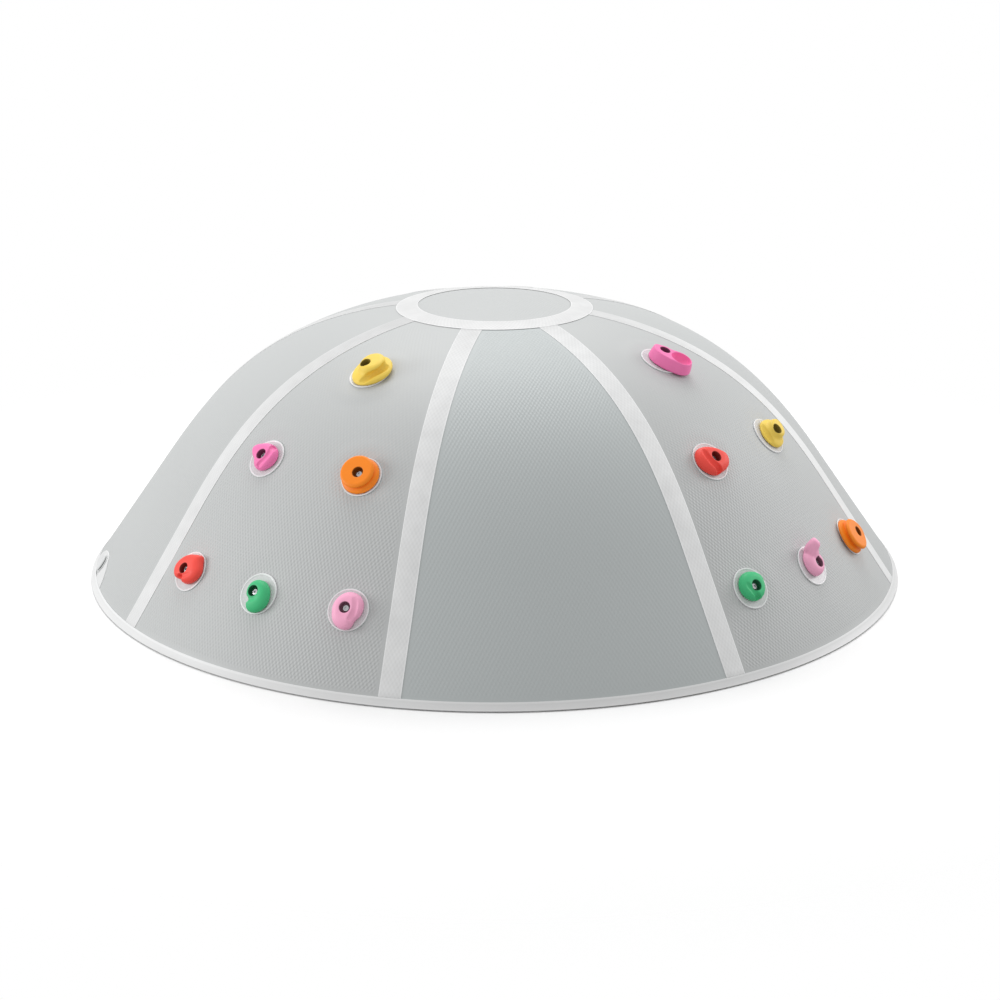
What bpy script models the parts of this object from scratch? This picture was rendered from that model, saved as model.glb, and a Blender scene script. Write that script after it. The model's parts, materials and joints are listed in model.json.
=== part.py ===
"""Air-filled climbing dome: eight gores round a crown panel, seam tape, crossed inner webs,
bolted climbing holds on anchor discs, and an inflation valve low on one gore.

Units are metres. +Z is up, the floor is z = 0, and the front gore faces -Y.
Places on the dome are given by a gore number, a distance from the crown measured along
a seam, and an offset to the side from the middle of the gore.
"""
import math

import bmesh
import bpy
import numpy as np
from mathutils import Matrix, Vector
from mathutils.bvhtree import BVHTree

# Dome form, over the tapes
BASE_RADIUS = 1.000
DOME_HEIGHT = 0.661
FLANK_ANGLE = math.radians(55.3)
FLANK_TOP_RADIUS = 0.8215
CROWN_REACH = 0.519
SHOULDER_REACH = 0.224
GORES = 8
GORE_INSET = 0.006

# Sheet and tapes
SKIN = 0.0012
TAPE = 0.0010
WEB = 0.0012
GAP = 0.0003
SEAM_TAPE_WIDTH = 0.050
RING_INNER_RADIUS = 0.1855
RING_OUTER_RADIUS = 0.2385
HEM_WIDTH = 0.023

# Facets of the skins
GORE_COLUMNS = 7
CAP_ROWS = 6
FLANK_ROWS = 1

# Inner webs
WEB_SETBACK = 0.045
WEB_CROWN_HEIGHT = 0.480
WEB_CLEARANCE = 0.0005
AIR_HOLE_RADII = (0.340, 0.610)
AIR_HOLE_HEIGHTS = (0.300, 0.230)
AIR_HOLE_RADIUS = 0.080
AIR_HOLE_POINTS = 10

# Anchor disc: a flange with a boss that holds a moulded-in nut, and the bolt
DISC_RADIUS = 0.048
DISC_FLANGE = 0.0030
DISC_SEGMENTS = 14
BOSS_RADIUS = 0.0110
BOSS_HEIGHT = 0.0072
BOLT_RADIUS = 0.004
BOLT_HEAD_RADIUS = 0.0070
BOLT_HEAD_HEIGHT = 0.0050
BOLT_SOCKET_RADIUS = 0.0035
BOLT_SOCKET_DEPTH = 0.0030
BOLT_SEGMENTS = 8
FIT = 0.0004

# Moulded holds
HOLD_POINTS = 16
HOLD_FLOOR = 0.0030
HOLD_BORE_RADIUS = 0.0048
COUNTERBORE_RADIUS = 0.0125
COUNTERBORE_SEGMENTS = 10
CUTTER_REACH = 0.080

# Valve: an arched patch over the hem, a flanged barrel, a sprung poppet and a low cap screwed into the barrel
VALVE_GORE_INDEX = 7
VALVE_HEM_CLEARANCE = 0.003
VALVE_SEGMENTS = 16
VALVE_PATCH_HEIGHT = 0.054
VALVE_PATCH_ARC = 0.155
VALVE_PATCH_LEVELS = (0.02, 0.13, 0.31, 0.54, 0.77, 1.0)
VALVE_PATCH_COLUMNS = 6
VALVE_FLANGE_RADIUS = 0.024
VALVE_FLANGE = 0.0020
VALVE_BARREL_RADIUS = 0.0150
VALVE_BARREL_LENGTH = 0.024
VALVE_WALL = 0.0030
VALVE_SEAT_WIDTH = 0.0030
VALVE_SEAT_HEIGHT = 0.0025
SPIDER_HUB_RADIUS = 0.0050
SPIDER_HEIGHT = 0.0030
SPIDER_ARM_WIDTH = 0.0025
SPIDER_ARMS = 3
STEM_RADIUS = 0.0020
STEM_HEAD_RADIUS = 0.0050
STEM_HEAD_HEIGHT = 0.0025
STEM_HEAD_DROP = 0.0010
STEM_RISE = 0.0080
POPPET_THICKNESS = 0.0025
POPPET_CLEARANCE = 0.0012
SPRING_WIRE_RADIUS = 0.0005
SPRING_TURNS = 4
SPRING_POINTS_PER_TURN = 8
CLAMP_RING_RADIUS = 0.0220
CLAMP_RING_HEIGHT = 0.004
CAP_RADIUS = 0.0200
CAP_TOP = 0.0030
CAP_EDGE = 0.0010
CAP_SKIRT_WALL = 0.0030
CAP_SKIRT_LENGTH = 0.0062
CAP_SEAL_RADII = (0.0130, 0.0170)
CAP_SEAL_HEIGHT = 0.0010
THREAD_CLEARANCE = 0.0005

# Colours as seen: red, green, blue, then roughness and metallic value
GREY_SKIN = ("grey_skin", (0.56, 0.57, 0.57), 0.55, 0.0)
WHITE_TAPE = ("white_tape", (0.86, 0.87, 0.87), 0.45, 0.0)
WEB_CLOTH = ("web_cloth", (0.70, 0.71, 0.71), 0.70, 0.0)
PALE_DISC = ("pale_disc", (0.74, 0.75, 0.75), 0.30, 0.0)
VALVE_WHITE = ("valve_white", (0.85, 0.86, 0.86), 0.35, 0.0)
SEAL_BLACK = ("seal_black", (0.03, 0.03, 0.03), 0.60, 0.0)
BRIGHT_STEEL = ("bright_steel", (0.80, 0.80, 0.81), 0.25, 1.0)
YELLOW = ("hold_yellow", (0.87, 0.62, 0.06), 0.45, 0.0)
HOT_PINK = ("hold_hot_pink", (0.87, 0.11, 0.37), 0.45, 0.0)
ORANGE = ("hold_orange", (0.95, 0.26, 0.02), 0.45, 0.0)
RED = ("hold_red", (0.79, 0.06, 0.05), 0.45, 0.0)
GREEN = ("hold_green", (0.05, 0.42, 0.16), 0.45, 0.0)
LIGHT_PINK = ("hold_light_pink", (0.87, 0.35, 0.54), 0.45, 0.0)

# Side of a rounded hold: share of its height, share of its outline
PEBBLE_SIDE = ((0.0, 0.95), (0.22, 1.0), (0.58, 0.95), (0.84, 0.82), (1.0, 0.62))
# Side of a spool hold: two discs with a valley between them
SPOOL_SIDE = ((0.0, 0.97), (0.14, 1.0), (0.34, 0.93), (0.50, 0.74), (0.64, 0.86), (0.86, 0.88), (1.0, 0.78))
# Side of a block hold: drafted walls and a broad top
BLOCK_SIDE = ((0.0, 0.94), (0.18, 1.0), (0.66, 0.95), (0.90, 0.88), (1.0, 0.79))
# Side of a jug hold: a broad foot and a knob on it
JUG_SIDE = ((0.0, 0.96), (0.12, 1.0), (0.34, 0.96), (0.46, 0.74), (0.66, 0.66), (0.86, 0.62), (1.0, 0.48))

LEFT_GORE_INDEX = 8
RIGHT_GORE_INDEX = 2

# Each hold: gore, distance from the crown, offset to the side, height, outline as (degrees, radius),
# side, and how far its top leans to (right, up the slope).
HOLDS = {
    "yellow_left": dict(
        gore=LEFT_GORE_INDEX, distance=0.489, offset=-0.012, colour=YELLOW,
        height=0.033, side=JUG_SIDE, lean=(0.003, 0.005),
        outline=((0, 0.044), (90, 0.042), (180, 0.043), (270, 0.045)),
        grooves=(dict(at=(0.0255, -0.0145, 0.0175), turn=60, length=0.100, radius=0.0070),)),
    "hot_pink_left": dict(
        gore=LEFT_GORE_INDEX, distance=0.777, offset=-0.141, colour=HOT_PINK,
        height=0.021, side=PEBBLE_SIDE, lean=(0, 0),
        outline=((5, 0.041), (50, 0.036), (90, 0.033), (130, 0.037), (166, 0.045), (215, 0.026), (265, 0.031),
                 (320, 0.038)),
        grooves=(dict(at=(0.021, -0.004, 0.023), turn=100, length=0.050, radius=0.0065),)),
    "orange_left": dict(
        gore=LEFT_GORE_INDEX, distance=0.771, offset=0.132, colour=ORANGE,
        height=0.022, side=SPOOL_SIDE, lean=(-0.005, 0.004),
        outline=((0, 0.045), (90, 0.044), (180, 0.044), (270, 0.045)),
        grooves=()),
    "red_left": dict(
        gore=LEFT_GORE_INDEX, distance=1.079, offset=-0.233, colour=RED,
        height=0.021, side=PEBBLE_SIDE, lean=(0, 0),
        outline=((5, 0.047), (40, 0.043), (80, 0.040), (115, 0.036), (150, 0.039), (187, 0.045), (228, 0.037),
                 (268, 0.024), (312, 0.035)),
        grooves=(dict(at=(0.006, -0.026, 0.022), turn=35, length=0.036, radius=0.0055),)),
    "green_left": dict(
        gore=LEFT_GORE_INDEX, distance=1.076, offset=-0.006, colour=GREEN,
        height=0.021, side=PEBBLE_SIDE, lean=(0, 0),
        outline=((0, 0.037), (45, 0.032), (100, 0.029), (160, 0.028), (212, 0.026), (240, 0.027), (264, 0.042),
                 (290, 0.045), (330, 0.043)),
        grooves=(dict(at=(-0.004, -0.021, 0.023), turn=25, length=0.040, radius=0.0050),)),
    "light_pink_left": dict(
        gore=LEFT_GORE_INDEX, distance=1.073, offset=0.224, colour=LIGHT_PINK,
        height=0.021, side=PEBBLE_SIDE, lean=(0, 0),
        outline=((5, 0.037), (45, 0.040), (90, 0.038), (150, 0.038), (205, 0.038), (245, 0.044), (286, 0.045),
                 (314, 0.033), (340, 0.035)),
        grooves=(dict(at=(0.029, 0.004, 0.026), turn=95, length=0.045, radius=0.0070),)),
    "hot_pink_right": dict(
        gore=RIGHT_GORE_INDEX, distance=0.482, offset=0.009, colour=HOT_PINK,
        height=0.032, side=BLOCK_SIDE,
        lean=(0.002, -0.003),
        outline=((299, 0.072), (319, 0.060), (344, 0.040), (29, 0.027), (74, 0.028), (119, 0.033), (164, 0.028),
                 (209, 0.027), (254, 0.040), (279, 0.060)),
        grooves=(), pocket=dict(at=(0.021, -0.037, 0.040), size=(0.019, 0.015, 0.023), turn=-61)),
    "yellow_right": dict(
        gore=RIGHT_GORE_INDEX, distance=0.777, offset=0.135, colour=YELLOW,
        height=0.028, side=JUG_SIDE, lean=(0.007, 0.002),
        outline=((0, 0.043), (90, 0.042), (180, 0.043), (270, 0.042)),
        grooves=(dict(at=(-0.023, 0.006, 0.0155), turn=65, length=0.100, radius=0.0060),)),
    "red_right": dict(
        gore=RIGHT_GORE_INDEX, distance=0.775, offset=-0.132, colour=RED,
        height=0.022, side=PEBBLE_SIDE, lean=(0, 0),
        outline=((0, 0.045), (28, 0.038), (70, 0.032), (105, 0.035), (135, 0.043), (175, 0.047), (215, 0.043),
                 (250, 0.037), (285, 0.033), (335, 0.044)),
        grooves=(dict(at=(-0.022, -0.002, 0.021), turn=-70, length=0.040, radius=0.0055),)),
    "green_right": dict(
        gore=RIGHT_GORE_INDEX, distance=1.076, offset=-0.226, colour=GREEN,
        height=0.021, side=PEBBLE_SIDE, lean=(0, 0),
        outline=((0, 0.038), (30, 0.040), (70, 0.036), (125, 0.037), (180, 0.037), (235, 0.037), (290, 0.036),
                 (330, 0.036)),
        grooves=(dict(at=(-0.019, -0.015, 0.018), turn=-53, length=0.050, radius=0.0055),)),
    "light_pink_right": dict(
        gore=RIGHT_GORE_INDEX, distance=1.082, offset=0.004, colour=LIGHT_PINK,
        height=0.021, side=PEBBLE_SIDE, lean=(0, 0),
        outline=((0, 0.039), (45, 0.037), (110, 0.036), (180, 0.032), (235, 0.031), (290, 0.034), (330, 0.037)),
        grooves=(),
        horn=dict(path=((-0.004, 0.012, 0.017), (-0.002, 0.030, 0.025), (0.004, 0.045, 0.036),
                        (0.009, 0.054, 0.046)),
                  radii=(0.0125, 0.0125, 0.0100, 0.0050))),
    "orange_right": dict(
        gore=RIGHT_GORE_INDEX, distance=1.085, offset=0.247, colour=ORANGE, height=0.026, side=SPOOL_SIDE,
        lean=(0.004, -0.002),
        outline=((0, 0.044), (90, 0.044), (180, 0.044), (270, 0.044)),
        grooves=()),
}

PITCH = 2 * math.pi / GORES
HALF = PITCH / 2
SKIN_DEPTH = TAPE + GAP
CURVE_SAMPLES = 400

# Heights in an anchor's stack, from the underside of its disc
HOLD_BOTTOM = DISC_FLANGE + GAP
RECESS_TOP = BOSS_HEIGHT + FIT
RECESS_RADIUS = BOSS_RADIUS + 2 * FIT
BOLT_SEAT = RECESS_TOP + HOLD_FLOOR

# Heights in the valve's stack, from the underside of its patch
FLANGE_BOTTOM = TAPE + GAP
FLANGE_TOP = FLANGE_BOTTOM + VALVE_FLANGE
BARREL_BOTTOM = FLANGE_BOTTOM - VALVE_BARREL_LENGTH
VALVE_BORE_RADIUS = VALVE_BARREL_RADIUS - VALVE_WALL
STEM_HEAD_BOTTOM = FLANGE_TOP - STEM_HEAD_DROP - STEM_HEAD_HEIGHT
SPIDER_TOP = STEM_HEAD_BOTTOM - STEM_RISE
SEAT_TOP = SPIDER_TOP - SPIDER_HEIGHT
SEAT_BOTTOM = SEAT_TOP - VALVE_SEAT_HEIGHT
SEAT_RADIUS = VALVE_BORE_RADIUS - VALVE_SEAT_WIDTH
SPRING_RADIUS = (STEM_RADIUS + STEM_HEAD_RADIUS) / 2


# Tools

def clear_scene():
    for thing in list(bpy.data.objects):
        bpy.data.objects.remove(thing, do_unlink=True)


def new_collection(name):
    collection = bpy.data.collections.new(name)
    bpy.context.scene.collection.children.link(collection)
    return collection


def material(finish):
    name, colour, roughness, metallic = finish
    made = bpy.data.materials.get(name)
    if made is None:
        made = bpy.data.materials.new(name)
        made.use_nodes = True
        shader = made.node_tree.nodes["Principled BSDF"]
        shader.inputs["Base Color"].default_value = (*colour, 1.0)
        shader.inputs["Roughness"].default_value = roughness
        shader.inputs["Metallic"].default_value = metallic
        made.diffuse_color = (*colour, 1.0)
    return made


def add_part(name, mesh, finish, matrix=None):
    part = bpy.data.objects.new(name, mesh)
    PARTS.objects.link(part)
    mesh.materials.clear()
    mesh.materials.append(material(finish))
    if matrix is not None:
        part.matrix_world = matrix
    return part


def add_cutter(name, mesh, matrix):
    cutter = bpy.data.objects.new(name, mesh)
    CUTTERS.objects.link(cutter)
    cutter.matrix_world = matrix
    cutter.hide_render = True
    cutter.display_type = "WIRE"
    return cutter


def boolean(part, tool, operation, solver="EXACT"):
    step = part.modifiers.new(tool.name, "BOOLEAN")
    step.operation = operation
    step.solver = solver
    step.object = tool


def mesh_of(bm, name):
    bmesh.ops.recalc_face_normals(bm, faces=bm.faces)
    mesh = bpy.data.meshes.new(name)
    bm.to_mesh(mesh)
    bm.free()
    return mesh


def smooth(part, angle=35):
    part.data.shade_smooth()
    part.data.set_sharp_from_angle(angle=math.radians(angle))


def evaluated_mesh(thing):
    graph = bpy.context.evaluated_depsgraph_get()
    return bpy.data.meshes.new_from_object(thing.evaluated_get(graph), depsgraph=graph)


def curve_mesh(curve_object):
    """Mesh of a curve object, with its caps welded; the curve goes."""
    mesh = evaluated_mesh(curve_object)
    bm = bmesh.new()
    bm.from_mesh(mesh)
    bmesh.ops.remove_doubles(bm, verts=bm.verts, dist=1e-6)
    bpy.data.objects.remove(curve_object, do_unlink=True)
    bpy.data.meshes.remove(mesh)
    return mesh_of(bm, "curve")


def poly_spline(curve, points, radii=None, closed=False):
    spline = curve.splines.new("POLY")
    spline.points.add(len(points) - 1)
    for index, point in enumerate(points):
        spline.points[index].co = (*point, 1.0)
        if radii:
            spline.points[index].radius = radii[index]
    spline.use_cyclic_u = closed
    return spline


def wall_radius(radius, segments):
    """Corner radius of a many-sided hole whose flats stay at the radius."""
    return radius / math.cos(math.pi / segments)


def turned(profile, segments):
    """Solid turned about Z. The outline of (radius, height) points runs down its outer side, and it is
    closed unless it starts and ends on the axis."""
    count = len(profile)
    edges = [(i, i + 1) for i in range(count - 1)]
    if profile[0][0] > 0:
        edges.append((count - 1, 0))
    outline = bpy.data.meshes.new("outline")
    outline.from_pydata([(radius, 0.0, height) for radius, height in profile], edges, [])
    blank = bpy.data.objects.new("outline", outline)
    PARTS.objects.link(blank)
    turn = blank.modifiers.new("turn", "SCREW")
    turn.steps = segments
    turn.render_steps = segments
    turn.use_merge_vertices = True
    turn.merge_threshold = 0.00001
    bm = bmesh.new()
    bm.from_mesh(evaluated_mesh(blank))
    bpy.data.objects.remove(blank, do_unlink=True)
    return mesh_of(bm, "turned")


def tube_profile(inner, outer, bottom, top):
    return ((outer, top), (outer, bottom), (inner, bottom), (inner, top))


# Form of the dome

def seam_curve(step):
    """Radius and height on the outer surface along a seam: a cap curve over 0..1, the flank over 1..2."""
    flank_top = (BASE_RADIUS - FLANK_TOP_RADIUS) * math.tan(FLANK_ANGLE)
    if step <= 1:
        crown = np.array((0.0, DOME_HEIGHT))
        pull = np.array((CROWN_REACH, DOME_HEIGHT))
        shoulder = np.array((FLANK_TOP_RADIUS, flank_top))
        rise = np.array((-math.cos(FLANK_ANGLE), math.sin(FLANK_ANGLE))) * SHOULDER_REACH
        rest = 1 - step
        return (rest**3 * crown + 3 * rest**2 * step * pull + 3 * rest * step**2 * (shoulder + rise)
                + step**3 * shoulder)
    share = step - 1
    return np.array((FLANK_TOP_RADIUS + share * (BASE_RADIUS - FLANK_TOP_RADIUS), flank_top * (1 - share)))


STEPS = np.linspace(0.0, 2.0, 2 * CURVE_SAMPLES + 1)
CURVE = np.array([seam_curve(step) for step in STEPS])
ARC = np.concatenate([[0.0], np.cumsum(np.hypot(*np.diff(CURVE, axis=0).T))])
SEAM_LENGTH = float(ARC[-1])


def distance_at_radius(radius):
    return float(np.interp(radius, CURVE[:, 0], ARC))


def seam_point(distance, depth=0.0):
    """Radius and height at a distance from the crown, moved inward by the depth."""
    step = float(np.interp(distance, ARC, STEPS))
    nudge = 1e-4
    radius, height = seam_curve(step)
    along = seam_curve(min(step + nudge, 2.0)) - seam_curve(max(step - nudge, 0.0))
    along /= np.linalg.norm(along)
    return radius + depth * along[1], height - depth * along[0]


JOINT = distance_at_radius((RING_INNER_RADIUS + RING_OUTER_RADIUS) / 2)
RING_OUTER = distance_at_radius(RING_OUTER_RADIUS)
RING_INNER = distance_at_radius(RING_INNER_RADIUS)
SHOULDER = distance_at_radius(FLANK_TOP_RADIUS)
HEM_TOP = SEAM_LENGTH - HEM_WIDTH
GORE_BOTTOM_HEIGHT = SKIN + GAP + SKIN * math.cos(FLANK_ANGLE)


def inset(distance, turn):
    """How far the gore lies inside the circle through its seams, at an angle from its middle."""
    if not RING_OUTER < distance < HEM_TOP:
        return 0.0
    swell = math.sin(math.pi * (distance - RING_OUTER) / (HEM_TOP - RING_OUTER))
    return GORE_INSET * swell * max(0.0, 1 - (turn / HALF)**2)


def surface_point(distance, azimuth, depth=0.0):
    """Point on the dome. Azimuth 0 is the front gore's middle, and it grows toward +X."""
    radius, height = seam_point(distance, depth)
    turn = (azimuth + HALF) % PITCH - HALF
    radius -= inset(distance, turn)
    return Vector((radius * math.sin(azimuth), -radius * math.cos(azimuth), height))


def tape_angle(distance):
    radius = max(seam_point(distance)[0], RING_INNER_RADIUS)
    return math.asin(SEAM_TAPE_WIDTH / 2 / radius)


def column_angles(distance, edge_gap):
    """Angles of a gore's facet columns from its middle; the outer columns lie under the seam tapes."""
    radius = max(seam_point(distance)[0], RING_INNER_RADIUS)
    edge = HALF - math.asin(edge_gap / radius)
    inner = HALF - tape_angle(distance)
    return [-edge, *np.linspace(-inner, inner, GORE_COLUMNS - 1), edge]


def patch_mesh(distances, azimuths_at, depth, name, closed=False):
    """Open surface lofted through rows at the distances, each with its own azimuths."""
    bm = bmesh.new()
    rows = [[bm.verts.new(surface_point(d, a, depth)) for a in azimuths_at(d)] for d in distances]
    count = len(rows[0])
    for upper, lower in zip(rows, rows[1:]):
        for i in range(count if closed else count - 1):
            j = (i + 1) % count
            bm.faces.new((upper[i], lower[i], lower[j], upper[j]))
    mesh = bpy.data.meshes.new(name)
    bm.to_mesh(mesh)
    bm.free()
    return mesh


def thicken(part, thickness):
    """Turn an open surface into a sheet that reaches inward."""
    step = part.modifiers.new("thickness", "SOLIDIFY")
    step.thickness = thickness
    step.offset = -1
    step.use_even_offset = True


def gore_rows():
    cap = np.linspace(RING_OUTER, SHOULDER, CAP_ROWS + 1)
    flank = np.linspace(SHOULDER, HEM_TOP, FLANK_ROWS + 1)[1:]
    return [*cap, *flank]


def all_round(distance):
    """Azimuths of every facet column round the dome, with one on each seam."""
    return [gore * PITCH + angle for gore in range(GORES) for angle in column_angles(distance, 0.0)[:-1]]


# Skins and tapes

def make_gores():
    bottom = SEAM_LENGTH - (GORE_BOTTOM_HEIGHT + SKIN_DEPTH * math.cos(FLANK_ANGLE)) / math.sin(FLANK_ANGLE)
    rows = [JOINT + GAP / 2, *gore_rows(), bottom]
    gores = []
    for gore in range(GORES):
        mesh = patch_mesh(rows, lambda d: [gore * PITCH + a for a in column_angles(d, GAP / 2)],
                          SKIN_DEPTH, "gore")
        part = add_part(f"gore_panel_{gore + 1}", mesh, GREY_SKIN)
        thicken(part, SKIN)
        smooth(part)
        gores.append(part)
    return gores


def make_crown_panel():
    """Round panel inside the joint, with a fan of facets at the top."""
    rows = (JOINT / 2, JOINT - GAP / 2)
    mesh = patch_mesh(rows, all_round, SKIN_DEPTH, "crown", closed=True)
    bm = bmesh.new()
    bm.from_mesh(mesh)
    tip = bm.verts.new(surface_point(0.0, 0.0, SKIN_DEPTH))
    rim = [edge for edge in bm.edges if edge.is_boundary and edge.verts[0].co.xy.length < JOINT * 0.75]
    for edge in rim:
        bm.faces.new((*edge.verts, tip))
    bmesh.ops.recalc_face_normals(bm, faces=bm.faces)
    if tip.link_faces[0].normal.z < 0:
        bmesh.ops.reverse_faces(bm, faces=bm.faces)
    bm.to_mesh(mesh)
    bm.free()
    part = add_part("crown_panel", mesh, GREY_SKIN)
    thicken(part, SKIN)
    smooth(part)


def make_top_tape():
    """Crown ring with a tape running down each seam, welded into one piece."""
    bm = bmesh.new()
    rings = [[bm.verts.new(surface_point(d, a)) for a in all_round(d)] for d in (RING_INNER, JOINT, RING_OUTER)]
    count = len(rings[0])
    for upper, lower in zip(rings, rings[1:]):
        for i in range(count):
            j = (i + 1) % count
            bm.faces.new((upper[i], lower[i], lower[j], upper[j]))
    for seam in range(GORES):
        middle = (seam + 0.5) * PITCH
        root = (seam + 1) * GORE_COLUMNS
        upper = [rings[-1][(root + i) % count] for i in (-1, 0, 1)]
        for distance in (*gore_rows()[1:-1], HEM_TOP - GAP):
            angles = (middle - tape_angle(distance), middle, middle + tape_angle(distance))
            lower = [bm.verts.new(surface_point(distance, angle)) for angle in angles]
            for i in range(2):
                bm.faces.new((upper[i], lower[i], lower[i + 1], upper[i + 1]))
            upper = lower
    mesh = bpy.data.meshes.new("tape")
    bm.to_mesh(mesh)
    bm.free()
    part = add_part("seam_tape", mesh, WHITE_TAPE)
    thicken(part, TAPE)
    smooth(part)


def make_hem_tape():
    """Band round the foot of the dome, cut level at the floor: a four-cornered section swept round."""
    radius_out, height_out = seam_point(HEM_TOP)
    radius_in, height_in = seam_point(HEM_TOP, TAPE)
    section = ((radius_out, height_out), (BASE_RADIUS, 0.0), (BASE_RADIUS - TAPE / math.sin(FLANK_ANGLE), 0.0),
               (radius_in, height_in))
    bm = bmesh.new()
    rings = [[bm.verts.new((r * math.sin(a), -r * math.cos(a), z)) for r, z in section]
             for a in all_round(HEM_TOP)]
    for ring, following in zip(rings, rings[1:] + rings[:1]):
        for corner in range(len(section)):
            after = (corner + 1) % len(section)
            bm.faces.new((ring[corner], ring[after], following[after], following[corner]))
    smooth(add_part("hem_tape", mesh_of(bm, "hem"), WHITE_TAPE))


def make_base_panel():
    radius = BASE_RADIUS - SKIN_DEPTH / math.sin(FLANK_ANGLE) - SKIN / math.tan(FLANK_ANGLE)
    bm = bmesh.new()
    rim = [bm.verts.new((radius * math.sin(a), -radius * math.cos(a), 0.0)) for a in all_round(HEM_TOP)]
    face = bm.faces.new(rim)
    top = bmesh.ops.extrude_face_region(bm, geom=[face])["geom"]
    bmesh.ops.translate(bm, verts=[v for v in top if isinstance(v, bmesh.types.BMVert)], vec=(0, 0, SKIN))
    add_part("base_panel", mesh_of(bm, "base"), GREY_SKIN)


def web_outline():
    """Outline of a web across the dome: along the base, up under the seams, and low under the crown."""
    floor = SKIN + GAP
    depth = SKIN_DEPTH + SKIN + WEB_CLEARANCE
    seam = [seam_point(d, depth) for d in gore_rows()[:-1]]
    outer = seam_point(distance_at_radius(BASE_RADIUS - WEB_SETBACK), depth)
    inner = seam_point(RING_OUTER, depth)
    side = [(inner[0], WEB_CROWN_HEIGHT), *seam, outer, (outer[0], floor)]
    return side + [(-radius, height) for radius, height in reversed(side)]


def web_mesh():
    curve = bpy.data.curves.new("web", "CURVE")
    curve.dimensions = "2D"
    curve.fill_mode = "BOTH"
    curve.extrude = WEB / 2
    poly_spline(curve, [(r, z, 0.0) for r, z in web_outline()], closed=True)
    for radius, height in zip(AIR_HOLE_RADII, AIR_HOLE_HEIGHTS):
        for side in (-1, 1):
            turns = [2 * math.pi * i / AIR_HOLE_POINTS for i in range(AIR_HOLE_POINTS)]
            poly_spline(curve, [(side * radius + AIR_HOLE_RADIUS * math.cos(t),
                                 height + AIR_HOLE_RADIUS * math.sin(t), 0.0) for t in turns], closed=True)
    shape = bpy.data.objects.new("web", curve)
    PARTS.objects.link(shape)
    return curve_mesh(shape)


def make_webs():
    """Four webs across the dome, each under two opposite seams, welded where they cross."""
    mesh = web_mesh()
    webs = None
    for seam in range(GORES // 2):
        azimuth = (seam + 0.5) * PITCH
        outward = Vector((math.sin(azimuth), -math.cos(azimuth), 0))
        up = Vector((0, 0, 1))
        frame = Matrix((outward, up, outward.cross(up))).transposed().to_4x4()
        if webs is None:
            turned_mesh = mesh.copy()
            turned_mesh.transform(frame)
            webs = add_part("inner_webs", turned_mesh, WEB_CLOTH)
        else:
            boolean(webs, add_cutter(f"web_{seam}", mesh, frame), "UNION", "MANIFOLD")


# Seats on the skin

def seat_frame(gore, distance, offset):
    """Frame on the skin: X to the right, Y up the slope, Z out of the dome."""
    radius = seam_point(distance, SKIN_DEPTH)[0]
    azimuth = (gore - 1) * PITCH + math.asin(offset / radius)
    nudge = 0.01
    up = (surface_point(distance - nudge, azimuth, SKIN_DEPTH)
          - surface_point(distance + nudge, azimuth, SKIN_DEPTH))
    side = (surface_point(distance, azimuth + nudge, SKIN_DEPTH)
            - surface_point(distance, azimuth - nudge, SKIN_DEPTH))
    out = side.cross(up).normalized()
    up = out.cross(side).normalized()
    frame = Matrix((up.cross(out), up, out)).transposed().to_4x4()
    frame.translation = surface_point(distance, azimuth, SKIN_DEPTH)
    return frame


def skin_heights(skin, frame, radius):
    """Heights of the skin's outside over the seat plane, sampled over a round area."""
    tree = BVHTree.FromObject(skin, bpy.context.evaluated_depsgraph_get())
    local = skin.matrix_world.inverted() @ frame
    down = -local.col[2].xyz
    heights = []
    for ring in (0.0, 0.35, 0.7, 1.0):
        for turn in range(16):
            angle = math.pi * turn / 8
            start = local @ Vector((ring * radius * math.cos(angle), ring * radius * math.sin(angle), 0.05))
            hit = tree.ray_cast(start, down)
            if hit[0] is not None:
                heights.append(0.05 - hit[3])
    return heights


def seated(skin, frame, radius):
    """The frame moved out until a flat disc of the radius just clears the skin."""
    lift = max(skin_heights(skin, frame, radius)) + GAP
    return frame @ Matrix.Translation((0, 0, lift))


# Holds and their anchors

def outline_radius(outline, angle):
    """Radius on a smooth closed curve through an outline's points, at an angle in degrees."""
    marks = [a for a, _ in outline]
    radii = [r for _, r in outline]
    count = len(outline)
    order = sorted(range(count), key=lambda i: marks[i])
    marks = [marks[i] for i in order]
    radii = [radii[i] for i in order]
    after = next((i for i in range(count) if marks[i] > angle), 0)

    def mark(i):
        return marks[i % count] + 360 * (i // count)

    def slope(i):
        return (radii[(i + 1) % count] - radii[(i - 1) % count]) / (mark(i + 1) - mark(i - 1))

    start = after - 1 if after else (count - 1 if angle >= marks[-1] else -1)
    span = mark(start + 1) - mark(start)
    t = (angle - mark(start)) / span
    h00, h10 = 2 * t**3 - 3 * t**2 + 1, t**3 - 2 * t**2 + t
    h01, h11 = 3 * t**2 - 2 * t**3, t**3 - t**2
    return (h00 * radii[start % count] + h10 * span * slope(start)
            + h01 * radii[(start + 1) % count] + h11 * span * slope(start + 1))


def hold_body(shape):
    """Loft of a hold's outline through the levels of its side."""
    bm = bmesh.new()
    rings = []
    for share, scale in shape["side"]:
        height = HOLD_BOTTOM + share * shape["height"]
        ring = []
        for point in range(HOLD_POINTS):
            angle = 360 * point / HOLD_POINTS
            radius = scale * outline_radius(shape["outline"], angle)
            ring.append(bm.verts.new((radius * math.cos(math.radians(angle)) + share * shape["lean"][0],
                                      radius * math.sin(math.radians(angle)) + share * shape["lean"][1],
                                      height)))
        rings.append(ring)
    for lower, upper in zip(rings, rings[1:]):
        for i in range(HOLD_POINTS):
            j = (i + 1) % HOLD_POINTS
            bm.faces.new((lower[i], lower[j], upper[j], upper[i]))
    bm.faces.new(rings[0])
    bm.faces.new(rings[-1])
    return mesh_of(bm, "hold")


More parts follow.
